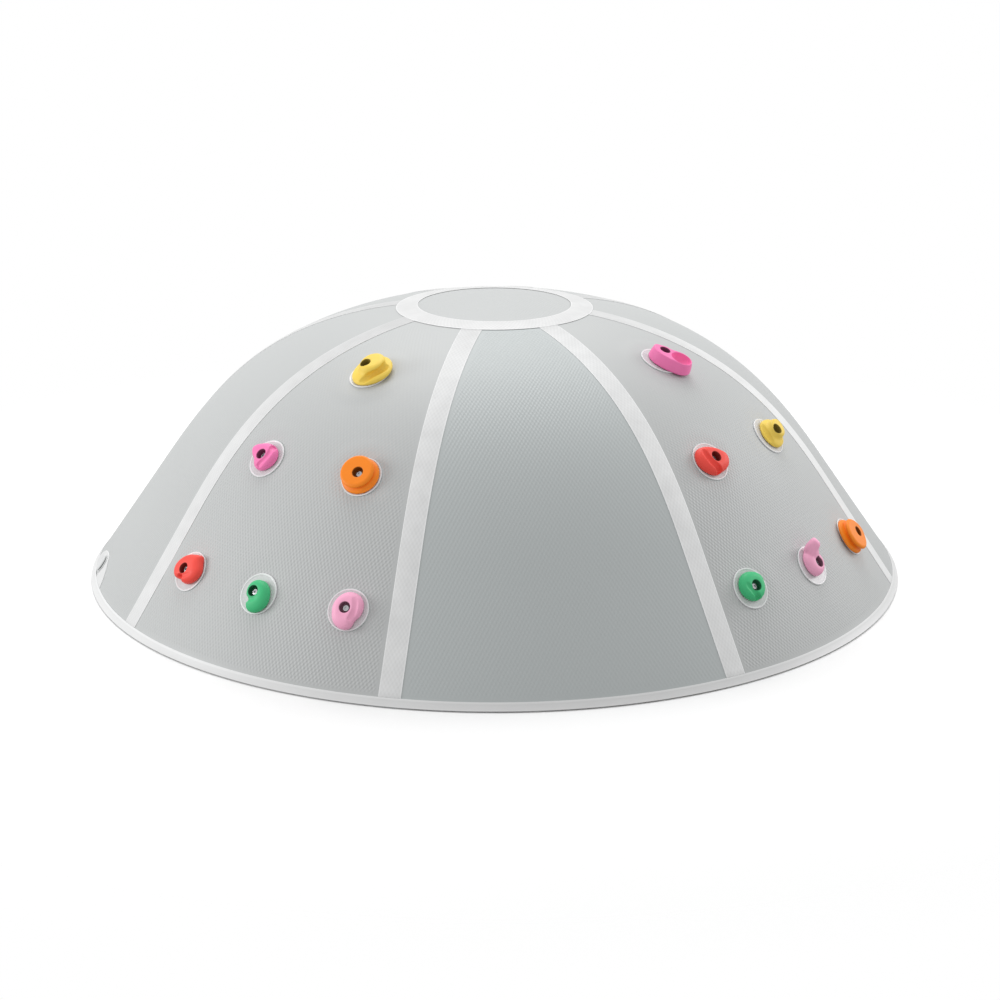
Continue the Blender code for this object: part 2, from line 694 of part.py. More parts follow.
def bolt_cutter():
    """Stepped hole through a hold: a recess over the disc's boss, the bolt hole and the counterbore."""
    recess = wall_radius(RECESS_RADIUS, COUNTERBORE_SEGMENTS)
    bore = wall_radius(HOLD_BORE_RADIUS, COUNTERBORE_SEGMENTS)
    return turned(((0, CUTTER_REACH), (COUNTERBORE_RADIUS, CUTTER_REACH), (COUNTERBORE_RADIUS, BOLT_SEAT),
                   (bore, BOLT_SEAT), (bore, RECESS_TOP), (recess, RECESS_TOP), (recess, 0), (0, 0)),
                  COUNTERBORE_SEGMENTS)


def groove_cutter(groove):
    """Round bar that lies across a hold, parallel to its foot."""
    bm = bmesh.new()
    bmesh.ops.create_cone(bm, cap_ends=True, segments=8, radius1=groove["radius"], radius2=groove["radius"],
                          depth=groove["length"])
    place = (Matrix.Translation(groove["at"]) @ Matrix.Rotation(math.radians(groove["turn"]), 4, "Z")
             @ Matrix.Rotation(math.pi / 2, 4, "Y"))
    bmesh.ops.transform(bm, matrix=place, verts=bm.verts)
    return mesh_of(bm, "groove")


def pocket_cutter(pocket):
    bm = bmesh.new()
    bmesh.ops.create_uvsphere(bm, u_segments=12, v_segments=8, radius=1.0)
    place = (Matrix.Translation(pocket["at"]) @ Matrix.Rotation(math.radians(pocket["turn"]), 4, "Z")
             @ Matrix.Diagonal((*pocket["size"], 1.0)))
    bmesh.ops.transform(bm, matrix=place, verts=bm.verts)
    return mesh_of(bm, "pocket")


def horn_mesh(horn):
    """Tapering horn along a curve, from inside the hold to its tip."""
    curve = bpy.data.curves.new("horn", "CURVE")
    curve.dimensions = "3D"
    curve.bevel_depth = 1.0
    curve.bevel_resolution = 2
    curve.use_fill_caps = True
    poly_spline(curve, horn["path"], radii=horn["radii"])
    shape = bpy.data.objects.new("horn", curve)
    PARTS.objects.link(shape)
    return curve_mesh(shape)


def disc_mesh():
    bore = wall_radius(BOLT_RADIUS + FIT, DISC_SEGMENTS)
    return turned(((BOSS_RADIUS, BOSS_HEIGHT), (BOSS_RADIUS, DISC_FLANGE), (DISC_RADIUS, DISC_FLANGE),
                   (DISC_RADIUS, 0.0), (bore, 0.0), (bore, BOSS_HEIGHT)), DISC_SEGMENTS)


def bolt_mesh():
    """Low-head bolt with a hexagon socket, its shank down in the moulded-in nut."""
    underside = BOLT_SEAT + GAP
    top = underside + BOLT_HEAD_HEIGHT
    blank = turned(((0, top), (BOLT_HEAD_RADIUS, top), (BOLT_HEAD_RADIUS, underside), (BOLT_RADIUS, underside),
                    (BOLT_RADIUS, 2 * GAP), (0, 2 * GAP)), BOLT_SEGMENTS)
    bolt = bpy.data.objects.new("bolt", blank)
    PARTS.objects.link(bolt)
    socket = turned(((0, top + BOLT_SOCKET_DEPTH), (BOLT_SOCKET_RADIUS, top + BOLT_SOCKET_DEPTH),
                     (BOLT_SOCKET_RADIUS, top - BOLT_SOCKET_DEPTH), (0, top - BOLT_SOCKET_DEPTH)), 6)
    boolean(bolt, add_cutter("bolt_socket", socket, Matrix.Identity(4)), "DIFFERENCE")
    mesh = evaluated_mesh(bolt)
    bpy.data.objects.remove(bolt, do_unlink=True)
    return mesh


def make_holds(gores):
    disc, bolt, stepped = disc_mesh(), bolt_mesh(), bolt_cutter()
    for name, shape in HOLDS.items():
        frame = seated(gores[shape["gore"] - 1], seat_frame(shape["gore"], shape["distance"], shape["offset"]),
                       DISC_RADIUS)
        smooth(add_part(f"anchor_disc_{name}", disc, PALE_DISC, frame))
        smooth(add_part(f"bolt_{name}", bolt, BRIGHT_STEEL, frame))
        hold = add_part(f"hold_{name}", hold_body(shape), shape["colour"], frame)
        smooth(hold, 50)
        if "horn" in shape:
            boolean(hold, add_cutter(f"horn_{name}", horn_mesh(shape["horn"]), frame), "UNION")
        boolean(hold, add_cutter(f"bore_{name}", stepped, frame), "DIFFERENCE")
        for number, groove in enumerate(shape["grooves"]):
            boolean(hold, add_cutter(f"groove_{number}_{name}", groove_cutter(groove), frame), "DIFFERENCE")
        if "pocket" in shape:
            boolean(hold, add_cutter(f"pocket_{name}", pocket_cutter(shape["pocket"]), frame), "DIFFERENCE")


# Valve

def valve_body_mesh():
    """Flanged barrel with a seat and a spider that guides the stem."""
    bore = wall_radius(VALVE_BORE_RADIUS, VALVE_SEGMENTS)
    seat = wall_radius(SEAT_RADIUS, VALVE_SEGMENTS)
    shell = turned(((VALVE_FLANGE_RADIUS, FLANGE_TOP), (VALVE_FLANGE_RADIUS, FLANGE_BOTTOM),
                    (VALVE_BARREL_RADIUS, FLANGE_BOTTOM), (VALVE_BARREL_RADIUS, BARREL_BOTTOM),
                    (bore, BARREL_BOTTOM), (bore, SEAT_BOTTOM), (seat, SEAT_BOTTOM), (seat, SEAT_TOP),
                    (bore, SEAT_TOP), (bore, FLANGE_TOP)), VALVE_SEGMENTS)
    body = bpy.data.objects.new("body", shell)
    PARTS.objects.link(body)
    reach = VALVE_BORE_RADIUS + VALVE_WALL / 2
    for arm in range(SPIDER_ARMS):
        bm = bmesh.new()
        bmesh.ops.create_cube(bm, size=1.0)
        place = (Matrix.Rotation(2 * math.pi * arm / SPIDER_ARMS, 4, "Z")
                 @ Matrix.Translation((reach / 2, 0, SPIDER_TOP - SPIDER_HEIGHT / 2))
                 @ Matrix.Diagonal((reach, SPIDER_ARM_WIDTH, SPIDER_HEIGHT, 1.0)))
        bmesh.ops.transform(bm, matrix=place, verts=bm.verts)
        boolean(body, add_cutter(f"spider_arm_{arm}", mesh_of(bm, "arm"), Matrix.Identity(4)), "UNION")
    hub_bottom = SPIDER_TOP - SPIDER_HEIGHT * 1.2
    hub = turned(((0, SPIDER_TOP + GAP), (SPIDER_HUB_RADIUS, SPIDER_TOP + GAP), (SPIDER_HUB_RADIUS, hub_bottom),
                  (0, hub_bottom)), 10)
    boolean(body, add_cutter("spider_hub", hub, Matrix.Identity(4)), "UNION")
    guide = wall_radius(STEM_RADIUS + FIT, 8)
    hole = turned(((0, FLANGE_TOP), (guide, FLANGE_TOP), (guide, BARREL_BOTTOM), (0, BARREL_BOTTOM)), 8)
    boolean(body, add_cutter("stem_guide", hole, Matrix.Identity(4)), "DIFFERENCE")
    mesh = evaluated_mesh(body)
    bpy.data.objects.remove(body, do_unlink=True)
    return mesh


def spring_mesh():
    """Compression spring between the spider and the stem's head."""
    bottom = SPIDER_TOP + 2 * GAP + SPRING_WIRE_RADIUS
    top = STEM_HEAD_BOTTOM - GAP - SPRING_WIRE_RADIUS
    count = SPRING_TURNS * SPRING_POINTS_PER_TURN
    points = []
    for i in range(count + 1):
        angle = 2 * math.pi * i / SPRING_POINTS_PER_TURN
        points.append((SPRING_RADIUS * math.cos(angle), SPRING_RADIUS * math.sin(angle),
                       bottom + (top - bottom) * i / count))
    curve = bpy.data.curves.new("spring", "CURVE")
    curve.dimensions = "3D"
    curve.bevel_depth = SPRING_WIRE_RADIUS
    curve.bevel_resolution = 0
    curve.use_fill_caps = True
    poly_spline(curve, points)
    shape = bpy.data.objects.new("spring", curve)
    PARTS.objects.link(shape)
    return curve_mesh(shape)


def valve_patch_mesh(skin):
    """Arched patch that lies on the gore's facets, from the hem up to its rounded top."""
    tree = BVHTree.FromObject(skin, bpy.context.evaluated_depsgraph_get())
    reach = SEAM_TAPE_WIDTH
    bm = bmesh.new()
    rows = []
    for level in VALVE_PATCH_LEVELS:
        rise = VALVE_PATCH_HEIGHT * (1 - level)
        distance = HEM_TOP - 2 * GAP - rise
        half = math.sqrt(VALVE_PATCH_ARC**2 - (VALVE_PATCH_ARC - VALVE_PATCH_HEIGHT + rise)**2)
        fold = seam_point(distance)[0] * math.sin(column_angles(distance, 0.0)[GORE_COLUMNS // 2 + 1])
        if half > fold:
            offsets = [-half, *np.linspace(-fold, fold, VALVE_PATCH_COLUMNS - 2), half]
        else:
            offsets = np.linspace(-half, half, VALVE_PATCH_COLUMNS)
        row = []
        for offset in offsets:
            frame = seat_frame(VALVE_GORE_INDEX, distance, float(offset))
            level_out = Vector((frame.translation.x, frame.translation.y, 0)).normalized()
            hit = tree.ray_cast(frame.translation + level_out * reach, -level_out)[0]
            row.append(bm.verts.new(hit + frame.col[2].xyz * (GAP + TAPE)))
        rows.append(row)
    for upper, lower in zip(rows, rows[1:]):
        for i in range(1, VALVE_PATCH_COLUMNS - 2):
            bm.faces.new((upper[i], lower[i], lower[i + 1], upper[i + 1]))
        bm.faces.new((upper[0], lower[0], lower[1]))
        bm.faces.new((upper[0], lower[1], upper[1]))
        bm.faces.new((upper[-1], lower[-2], lower[-1]))
        bm.faces.new((upper[-1], upper[-2], lower[-2]))
    mesh = bpy.data.meshes.new("patch")
    bm.to_mesh(mesh)
    bm.free()
    return mesh


def make_valve(gores):
    skin = gores[VALVE_GORE_INDEX - 1]
    plain = seat_frame(VALVE_GORE_INDEX, HEM_TOP - VALVE_HEM_CLEARANCE - VALVE_FLANGE_RADIUS, 0.0)
    frame = seated(skin, plain, VALVE_FLANGE_RADIUS)
    skin_low = min(skin_heights(skin, plain, CLAMP_RING_RADIUS)) - SKIN
    lift = (frame.translation - plain.translation).length
    hole = turned(((0, CUTTER_REACH), (VALVE_BARREL_RADIUS + 2 * FIT, CUTTER_REACH),
                   (VALVE_BARREL_RADIUS + 2 * FIT, -CUTTER_REACH), (0, -CUTTER_REACH)), VALVE_SEGMENTS)
    hole = add_cutter("valve_hole", hole, frame)
    patch = add_part("valve_patch", valve_patch_mesh(skin), WHITE_TAPE)
    thicken(patch, TAPE)
    smooth(patch)
    boolean(patch, hole, "DIFFERENCE")
    boolean(skin, hole, "DIFFERENCE")

    clear = wall_radius(VALVE_BARREL_RADIUS + THREAD_CLEARANCE, VALVE_SEGMENTS)
    smooth(add_part("valve_body", valve_body_mesh(), VALVE_WHITE, frame))
    ring_top = skin_low - lift - 2 * GAP
    ring = turned(tube_profile(clear, CLAMP_RING_RADIUS, ring_top - CLAMP_RING_HEIGHT, ring_top),
                  VALVE_SEGMENTS)
    smooth(add_part("valve_clamp_ring", ring, VALVE_WHITE, frame))

    poppet_top = SEAT_BOTTOM - GAP
    bore = wall_radius(STEM_RADIUS + GAP, 8)
    poppet = turned(tube_profile(bore, VALVE_BORE_RADIUS - POPPET_CLEARANCE, poppet_top - POPPET_THICKNESS,
                                 poppet_top), VALVE_SEGMENTS)
    smooth(add_part("valve_poppet", poppet, SEAL_BLACK, frame))
    foot = poppet_top - POPPET_THICKNESS - GAP
    head_top = STEM_HEAD_BOTTOM + STEM_HEAD_HEIGHT
    stem = turned(((0, head_top), (STEM_HEAD_RADIUS, head_top), (STEM_HEAD_RADIUS, STEM_HEAD_BOTTOM),
                   (STEM_RADIUS, STEM_HEAD_BOTTOM), (STEM_RADIUS, foot), (STEM_HEAD_RADIUS, foot),
                   (STEM_HEAD_RADIUS, foot - STEM_HEAD_HEIGHT / 2), (0, foot - STEM_HEAD_HEIGHT / 2)), 8)
    smooth(add_part("valve_stem", stem, VALVE_WHITE, frame))
    smooth(add_part("valve_spring", spring_mesh(), BRIGHT_STEEL, frame))

    seal_bottom = FLANGE_TOP + GAP
    seal_top = seal_bottom + CAP_SEAL_HEIGHT
    seal = turned(tube_profile(*CAP_SEAL_RADII, seal_bottom, seal_top), VALVE_SEGMENTS)
    smooth(add_part("valve_cap_seal", seal, SEAL_BLACK, frame))
    under = seal_top + GAP
    skirt = VALVE_BORE_RADIUS - THREAD_CLEARANCE
    cap = turned(((0, under + CAP_TOP), (CAP_RADIUS - CAP_EDGE, under + CAP_TOP),
                  (CAP_RADIUS, under + CAP_TOP - CAP_EDGE), (CAP_RADIUS, under), (skirt, under),
                  (skirt, under - CAP_SKIRT_LENGTH), (skirt - CAP_SKIRT_WALL, under - CAP_SKIRT_LENGTH),
                  (skirt - CAP_SKIRT_WALL, under), (0, under)), VALVE_SEGMENTS)
    smooth(add_part("valve_cap", cap, VALVE_WHITE, frame))


clear_scene()
PARTS = new_collection("climbing_dome")
CUTTERS = new_collection("cutters")
GORE_PANELS = make_gores()
make_crown_panel()
make_top_tape()
make_hem_tape()
make_base_panel()
make_webs()
make_holds(GORE_PANELS)
make_valve(GORE_PANELS)
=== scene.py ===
"""Looks of the climbing dome: smooth skins, tapes, discs, bolts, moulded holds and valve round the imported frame."""
import json
import math

import bmesh
import bpy
import numpy as np
from mathutils import Matrix, Vector

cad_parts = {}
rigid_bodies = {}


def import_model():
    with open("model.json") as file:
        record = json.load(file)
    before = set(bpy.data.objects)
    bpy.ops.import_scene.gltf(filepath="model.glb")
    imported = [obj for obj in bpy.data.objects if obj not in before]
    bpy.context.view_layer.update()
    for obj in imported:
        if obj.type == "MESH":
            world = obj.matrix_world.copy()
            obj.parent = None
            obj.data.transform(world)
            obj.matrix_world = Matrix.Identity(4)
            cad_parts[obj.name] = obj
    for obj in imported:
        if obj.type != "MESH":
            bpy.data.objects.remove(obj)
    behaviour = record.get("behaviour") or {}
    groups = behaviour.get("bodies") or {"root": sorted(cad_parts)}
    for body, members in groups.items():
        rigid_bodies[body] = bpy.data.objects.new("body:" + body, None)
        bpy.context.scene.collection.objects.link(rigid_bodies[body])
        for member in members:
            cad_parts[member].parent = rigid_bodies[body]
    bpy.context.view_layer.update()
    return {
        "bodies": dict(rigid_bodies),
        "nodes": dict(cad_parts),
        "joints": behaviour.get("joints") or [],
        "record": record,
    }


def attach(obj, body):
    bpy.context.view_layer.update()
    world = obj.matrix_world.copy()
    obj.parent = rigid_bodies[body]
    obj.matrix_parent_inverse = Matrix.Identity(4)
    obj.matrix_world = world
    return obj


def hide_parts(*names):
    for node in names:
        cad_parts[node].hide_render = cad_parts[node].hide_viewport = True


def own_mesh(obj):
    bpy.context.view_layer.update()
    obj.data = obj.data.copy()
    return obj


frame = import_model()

bl_info = {
    "name": "Climbing dome",
    "version": (1, 0, 0),
    "blender": (4, 5, 0),
    "location": "3D View > Sidebar > Dome",
    "description": "Builds an inflated climbing dome with moulded holds",
    "category": "Add Mesh",
}

NODES = frame["nodes"]

# Form of the dome, over the tapes
BASE_RADIUS = 1.000
DOME_HEIGHT = 0.661
FLANK_ANGLE = math.radians(55.3)
FLANK_TOP_RADIUS = 0.8215
CROWN_REACH = 0.519
SHOULDER_REACH = 0.224
GORES = 8
PITCH = math.tau / GORES
HALF = PITCH / 2
GORE_INSET = 0.006
SKIN = 0.0012
TAPE = 0.0010
GAP = 0.0003
SKIN_DEPTH = TAPE + GAP
SEAM_TAPE_WIDTH = 0.050
RING_INNER_RADIUS = 0.1855
RING_OUTER_RADIUS = 0.2385
HEM_WIDTH = 0.023

# Anchor and bolt, from the underside of the disc
DISC_RADIUS = 0.048
DISC_FLANGE = 0.0030
DISC_FLOOR = 0.0022
BOSS_RADIUS = 0.0110
BOSS_HEIGHT = 0.0072
HOLD_BOTTOM = DISC_FLANGE + 0.0004
BOLT_SEAT = 0.0106
BOLT_RADIUS = 0.0040
BOLT_HEAD_RADIUS = 0.0070
BOLT_HEAD_HEIGHT = 0.0050
SOCKET_RADIUS = 0.0036
COUNTERBORE_RADIUS = 0.0122

# Valve and its patch, from the underside of the patch
VALVE_HOLE_RADIUS = 0.0156
VALVE_SKIRT_BOTTOM = 0.0013
VALVE_FLANGE_RADIUS = 0.0240
PATCH_ARC_RADIUS = 0.155
PATCH_HEIGHT = 0.054
PATCH_HALF_WIDTH = 0.1172
CAP_RADIUS = 0.0200
CAP_THICKNESS = 0.0030
CAP_SKIRT = (0.0085, 0.0115)
SPRING_WIRE_RADIUS = 0.0005
SPRING_TURNS = 4
RIBS = 30
RIB_RADIUS = 0.0008

# Radii between which a skin leaves a flat seat for the dome's form
VALVE_SEAT = (VALVE_FLANGE_RADIUS + 0.002, 0.048)
DISC_SEAT = (0.050, 0.105)

# Camera of the photograph, from the middle of the dome's foot
CAMERA_DISTANCE = 5.7261
CAMERA_ELEVATION = math.radians(19.009)
CAMERA_TURN = math.radians(9.489)
CAMERA_LENS = 82.0
CAMERA_SHIFT = (0.00552, 0.05799)


# Form of the dome

def seam_curve(step):
    flank_top = (BASE_RADIUS - FLANK_TOP_RADIUS) * math.tan(FLANK_ANGLE)
    if step <= 1:
        crown = np.array((0.0, DOME_HEIGHT))
        pull = np.array((CROWN_REACH, DOME_HEIGHT))
        shoulder = np.array((FLANK_TOP_RADIUS, flank_top))
        rise = np.array((-math.cos(FLANK_ANGLE), math.sin(FLANK_ANGLE))) * SHOULDER_REACH
        rest = 1 - step
        return (rest**3 * crown + 3 * rest**2 * step * pull + 3 * rest * step**2 * (shoulder + rise)
                + step**3 * shoulder)
    share = step - 1
    return np.array((FLANK_TOP_RADIUS + share * (BASE_RADIUS - FLANK_TOP_RADIUS), flank_top * (1 - share)))


STEPS = np.linspace(0.0, 2.0, 801)
CURVE = np.array([seam_curve(step) for step in STEPS])
ARC = np.concatenate([[0.0], np.cumsum(np.hypot(*np.diff(CURVE, axis=0).T))])
SEAM_LENGTH = float(ARC[-1])


def distance_at_radius(radius):
    return float(np.interp(radius, CURVE[:, 0], ARC))


def seam_point(distance, depth=0.0):
    """Radius and height at a distance from the crown, moved inward by the depth."""
    step = float(np.interp(distance, ARC, STEPS))
    nudge = 1e-4
    radius, height = seam_curve(step)
    along = seam_curve(min(step + nudge, 2.0)) - seam_curve(max(step - nudge, 0.0))
    along /= np.linalg.norm(along)
    return radius + depth * along[1], height - depth * along[0]


JOINT = distance_at_radius((RING_INNER_RADIUS + RING_OUTER_RADIUS) / 2)
RING_OUTER = distance_at_radius(RING_OUTER_RADIUS)
RING_INNER = distance_at_radius(RING_INNER_RADIUS)
HEM_TOP = SEAM_LENGTH - HEM_WIDTH


def surface_point(distance, azimuth, depth=0.0):
    """Point on the dome. Azimuth 0 is the front gore's middle, and it grows toward +X."""
    radius, height = seam_point(distance, depth)
    turn = (azimuth + HALF) % PITCH - HALF
    if RING_OUTER < distance < HEM_TOP:
        swell = math.sin(math.pi * (distance - RING_OUTER) / (HEM_TOP - RING_OUTER))
        radius -= GORE_INSET * swell * max(0.0, 1 - (turn / HALF)**2)
    return Vector((radius * math.sin(azimuth), -radius * math.cos(azimuth), height))


# Mesh tools

def new_object(name, mesh, body, matrix=None):
    made = bpy.data.objects.new(name, mesh)
    bpy.context.scene.collection.objects.link(made)
    if matrix is not None:
        made.matrix_world = matrix
    bpy.context.view_layer.update()
    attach(made, body)
    return made


def mesh_of(bm, name):
    bmesh.ops.recalc_face_normals(bm, faces=bm.faces)
    mesh = bpy.data.meshes.new(name)
    bm.to_mesh(mesh)
    bm.free()
    return mesh


def evaluated_mesh(thing):
    graph = bpy.context.evaluated_depsgraph_get()
    return bpy.data.meshes.new_from_object(thing.evaluated_get(graph), depsgraph=graph)


def baked(thing):
    """The mesh of a helper object with its modifiers applied; the object goes."""
    bpy.context.view_layer.update()
    mesh = evaluated_mesh(thing)
    old = thing.data
    remove(thing)
    if old.users == 0 and isinstance(old, bpy.types.Mesh):
        bpy.data.meshes.remove(old)
    return mesh


def helper(mesh):
    made = bpy.data.objects.new("helper", mesh)
    bpy.context.scene.collection.objects.link(made)
    return made


def remove(thing):
    bpy.data.objects.remove(thing, do_unlink=True)


def combine(thing, operation, other):
    """Give a piece an exact boolean with another object."""
    step = thing.modifiers.new("combine", "BOOLEAN")
    step.operation = operation
    step.solver = "EXACT"
    step.object = other


def shade(mesh, degrees):
    """Shade a mesh smooth, with sharp edges above an angle."""
    mesh.shade_smooth()
    mesh.set_sharp_from_angle(angle=math.radians(degrees))


def around(count):
    return [math.tau * i / count for i in range(count)]


def turned(profile, segments, name="turned"):
    """Closed solid turned about Z from an outline of (radius, height) points."""
    bm = bmesh.new()
    points = [bm.verts.new((radius, 0.0, height)) for radius, height in profile]
    edges = [bm.edges.new((points[i], points[(i + 1) % len(points)])) for i in range(len(points))]
    bmesh.ops.spin(bm, geom=points + edges, cent=(0, 0, 0), axis=(0, 0, 1), angle=math.tau, steps=segments)
    bmesh.ops.remove_doubles(bm, verts=bm.verts, dist=1e-6)
    bmesh.ops.dissolve_degenerate(bm, edges=bm.edges, dist=1e-6)
    on_axis = [edge for edge in bm.edges if all(v.co.xy.length < 1e-6 for v in edge.verts)]
    bmesh.ops.delete(bm, geom=on_axis, context="EDGES")
    return mesh_of(bm, name)


def rounded(profile, radius, steps=4):
    """Outline with every corner replaced by an arc-like run of points."""
    points = [Vector((x, z)) for x, z in profile]
    out = []
    count = len(points)
    for i, corner in enumerate(points):
        before, after = points[i - 1] - corner, points[(i + 1) % count] - corner
        reach = min(radius, before.length * 0.45, after.length * 0.45)
        if corner.x < 1e-6:
            out.append(tuple(corner))
            continue
        start, end = corner + before.normalized() * reach, corner + after.normalized() * reach
        for step in range(steps + 1):
            t = step / steps
            out.append(tuple(start * (1 - t)**2 + corner * 2 * t * (1 - t) + end * t**2))
    return out


def grid_mesh(rows, name, closed=False, uv=None, edge=None):
    """Open surface through rows of points, with a UV map in metres and the distance to the nearest tape."""
    bm = bmesh.new()
    made = [[bm.verts.new(point) for point in row] for row in rows]
    layer = bm.loops.layers.uv.new("metres")
    count = len(made[0])
    where = {}
    for r, row in enumerate(made):
        for c, vert in enumerate(row):
            where[vert] = (r, c)
    for r in range(len(made) - 1):
        for i in range(count if closed else count - 1):
            j = (i + 1) % count
            face = bm.faces.new((made[r][i], made[r + 1][i], made[r + 1][j], made[r][j]))
            face.smooth = True
            if uv:
                for loop in face.loops:
                    row, column = where[loop.vert]
                    if closed and column == 0 and i == count - 1:
                        column = count
                    loop[layer].uv = uv(row, column)
    mesh = bpy.data.meshes.new(name)
    bm.verts.index_update()
    order = [where[vert] for vert in bm.verts]
    bm.to_mesh(mesh)
    bm.free()
    if edge:
        values = mesh.attributes.new("edge", "FLOAT", "POINT")
        values.data.foreach_set("value", [edge(row, column) for row, column in order])
    return mesh


def thicken(thing, thickness, bevel=0.0):
    step = thing.modifiers.new("thickness", "SOLIDIFY")
    step.thickness = thickness
    step.offset = -1
    step.use_even_offset = True
    if bevel:
        step = thing.modifiers.new("edges", "BEVEL")
        step.width = bevel
        step.segments = 2
        step.limit_method = "ANGLE"
        step.angle_limit = math.radians(60)


def outward_frame(node):
    """Frame of a round CAD node: Z out along its axis, X level, the origin on the axis at its inner end."""
    co = np.array([tuple(v.co) for v in NODES[node].data.vertices])
    co = np.unique(np.round(co, 6), axis=0)
    centre = co.mean(0)
    values, vectors = np.linalg.eigh(np.cov((co - centre).T))
    odd = 0 if values[1] - values[0] > values[2] - values[1] else 2
    axis = Vector(vectors[:, odd])
    if axis.dot(Vector(centre)) < 0:
        axis = -axis
    across = Vector((0, 0, 1)).cross(axis).normalized()
    matrix = Matrix((across, axis.cross(across), axis)).transposed().to_4x4()
    heights = (co - centre) @ np.array(axis)
    matrix.translation = Vector(centre) + axis * float(heights.min())
    return matrix


def spot(frame, level, inner, outer):
    """Place where a skin is drawn flat to a level of a frame, fading out between two radii."""
    return frame, frame.inverted(), level, inner, outer


def settled(point, spots):
    for frame, inverse, level, inner, outer in spots:
        local = inverse @ point
        away = local.xy.length
        if away < outer and abs(local.z) < 0.03:
            share = min(1.0, (outer - away) / (outer - inner))
            local.z += (level - local.z) * share * share * (3 - 2 * share)
            point = frame @ local
    return point


def pierced(thing, frame, radius):
    """Cut a round hole along the frame's axis through a piece, with its modifiers applied."""
    bit = helper(turned(((0, 0.03), (radius, 0.03), (radius, -0.03), (0, -0.03)), 64))
    bit.matrix_world = frame
    combine(thing, "DIFFERENCE", bit)
    bpy.context.view_layer.update()
    mesh = evaluated_mesh(thing)
    thing.modifiers.clear()
    thing.data = mesh
    remove(bit)


def valve_frame():
    """Frame of the valve, with its origin on the underside of the patch."""
    frame = outward_frame("valve_cap")
    frame.translation += frame.to_3x3() @ Vector((0, 0, VALVE_SKIRT_BOTTOM))
    return frame


def reach(node, matrix):
    """Largest radius, lowest and highest point of a CAD node in a frame."""
    inverse = matrix.inverted()
    points = [inverse @ v.co for v in NODES[node].data.vertices]
    return max(p.xy.length for p in points), min(p.z for p in points), max(p.z for p in points)


# Materials

class Graph:
    """Small helper for a material's nodes."""

    def __init__(self, name, colour, roughness, metallic=0.0):
        self.material = bpy.data.materials.new(name)
        self.material.use_nodes = True
        self.material.diffuse_color = (*colour, 1)
        self.tree = self.material.node_tree
        self.shader = self.tree.nodes["Principled BSDF"]
        self.shader.inputs["Base Color"].default_value = (*colour, 1)
        self.shader.inputs["Roughness"].default_value = roughness
        self.shader.inputs["Metallic"].default_value = metallic

    def node(self, kind, **settings):
        made = self.tree.nodes.new(kind)
        for key, value in settings.items():
            setattr(made, key, value)
        return made

    def link(self, source, target):
        self.tree.links.new(source, target)

    def math(self, operation, first, second=None, clamp=False):
        made = self.node("ShaderNodeMath", operation=operation, use_clamp=clamp)
        for index, value in enumerate((first, second)):
            if value is None:
                continue
            if isinstance(value, (int, float)):
                made.inputs[index].default_value = value
            else:
                self.link(value, made.inputs[index])
        return made.outputs[0]

    def times(self, first, second):
        return self.math("MULTIPLY", first, second)

    def plus(self, first, second, clamp=False):
        return self.math("ADD", first, second, clamp)

    def axes(self, vector):
        parts = self.node("ShaderNodeSeparateXYZ")
        self.link(vector, parts.inputs["Vector"])
        return parts.outputs

    def place(self):
        return self.node("ShaderNodeTexCoord").outputs["Object"]

    def metres(self):
        return self.node("ShaderNodeUVMap", uv_map="metres").outputs["UV"]

    def edge(self):
        """Distance to the nearest tape's edge."""
        return self.node("ShaderNodeAttribute", attribute_name="edge").outputs["Fac"]

    def from_axis(self):
        """Distance from the piece's own Z axis."""
        axes = self.axes(self.place())
        return self.math("SQRT", self.plus(*(self.math("POWER", axes[name], 2.0) for name in "XY")))

    def noise(self, scale, detail):
        made = self.node("ShaderNodeTexNoise")
        made.inputs["Scale"].default_value = scale
        made.inputs["Detail"].default_value = detail
        self.link(self.place(), made.inputs["Vector"])
        return made.outputs["Fac"]

    def colours(self, factor, colour, dark, bright):
        """Base colour between two strengths of one colour."""
        self.blend(factor, scaled(colour, dark), scaled(colour, bright))

    def rough(self, grain, share, base):
        self.link(self.plus(self.times(grain, share), base), self.shader.inputs["Roughness"])

    def blend(self, factor, first, second):
        """Base colour between two colours."""
        made = self.node("ShaderNodeMix", data_type="RGBA")
        made.inputs["A"].default_value = (*first, 1)
        made.inputs["B"].default_value = (*second, 1)
        self.link(factor, made.inputs["Factor"])
        self.link(made.outputs["Result"], self.shader.inputs["Base Color"])

    def bump(self, height, distance):
        made = self.node("ShaderNodeBump")
        made.inputs["Distance"].default_value = distance
        self.link(height, made.inputs["Height"])
        self.link(made.outputs["Normal"], self.shader.inputs["Normal"])

    def span(self, value, low, high, out_low=0.0, out_high=1.0):
        made = self.node("ShaderNodeMapRange")
        made.inputs["From Min"].default_value = low
        made.inputs["From Max"].default_value = high
        made.inputs["To Min"].default_value = out_low
        made.inputs["To Max"].default_value = out_high
        self.link(value, made.inputs["Value"])
        return made.outputs["Result"]


# Distances in metres between which the weave fades in beside a tape and changes down a gore, and a tape's painted
# edge highlight ends, then how much painted shade darkens a tape at the crown and how far down that reaches
WEAVE_FADE = (0.004, 0.014)
WEAVE_CHANGE = (0.50, 0.90)
WELD_EDGE_HIGHLIGHT = (0.0012, 0.0032)
TAPE_CROWN_SHADE = 0.45
TAPE_CROWN_SHADE_REACH = 0.50


def scaled(colour, factor):
    return tuple(min(1.0, part * factor) for part in colour)


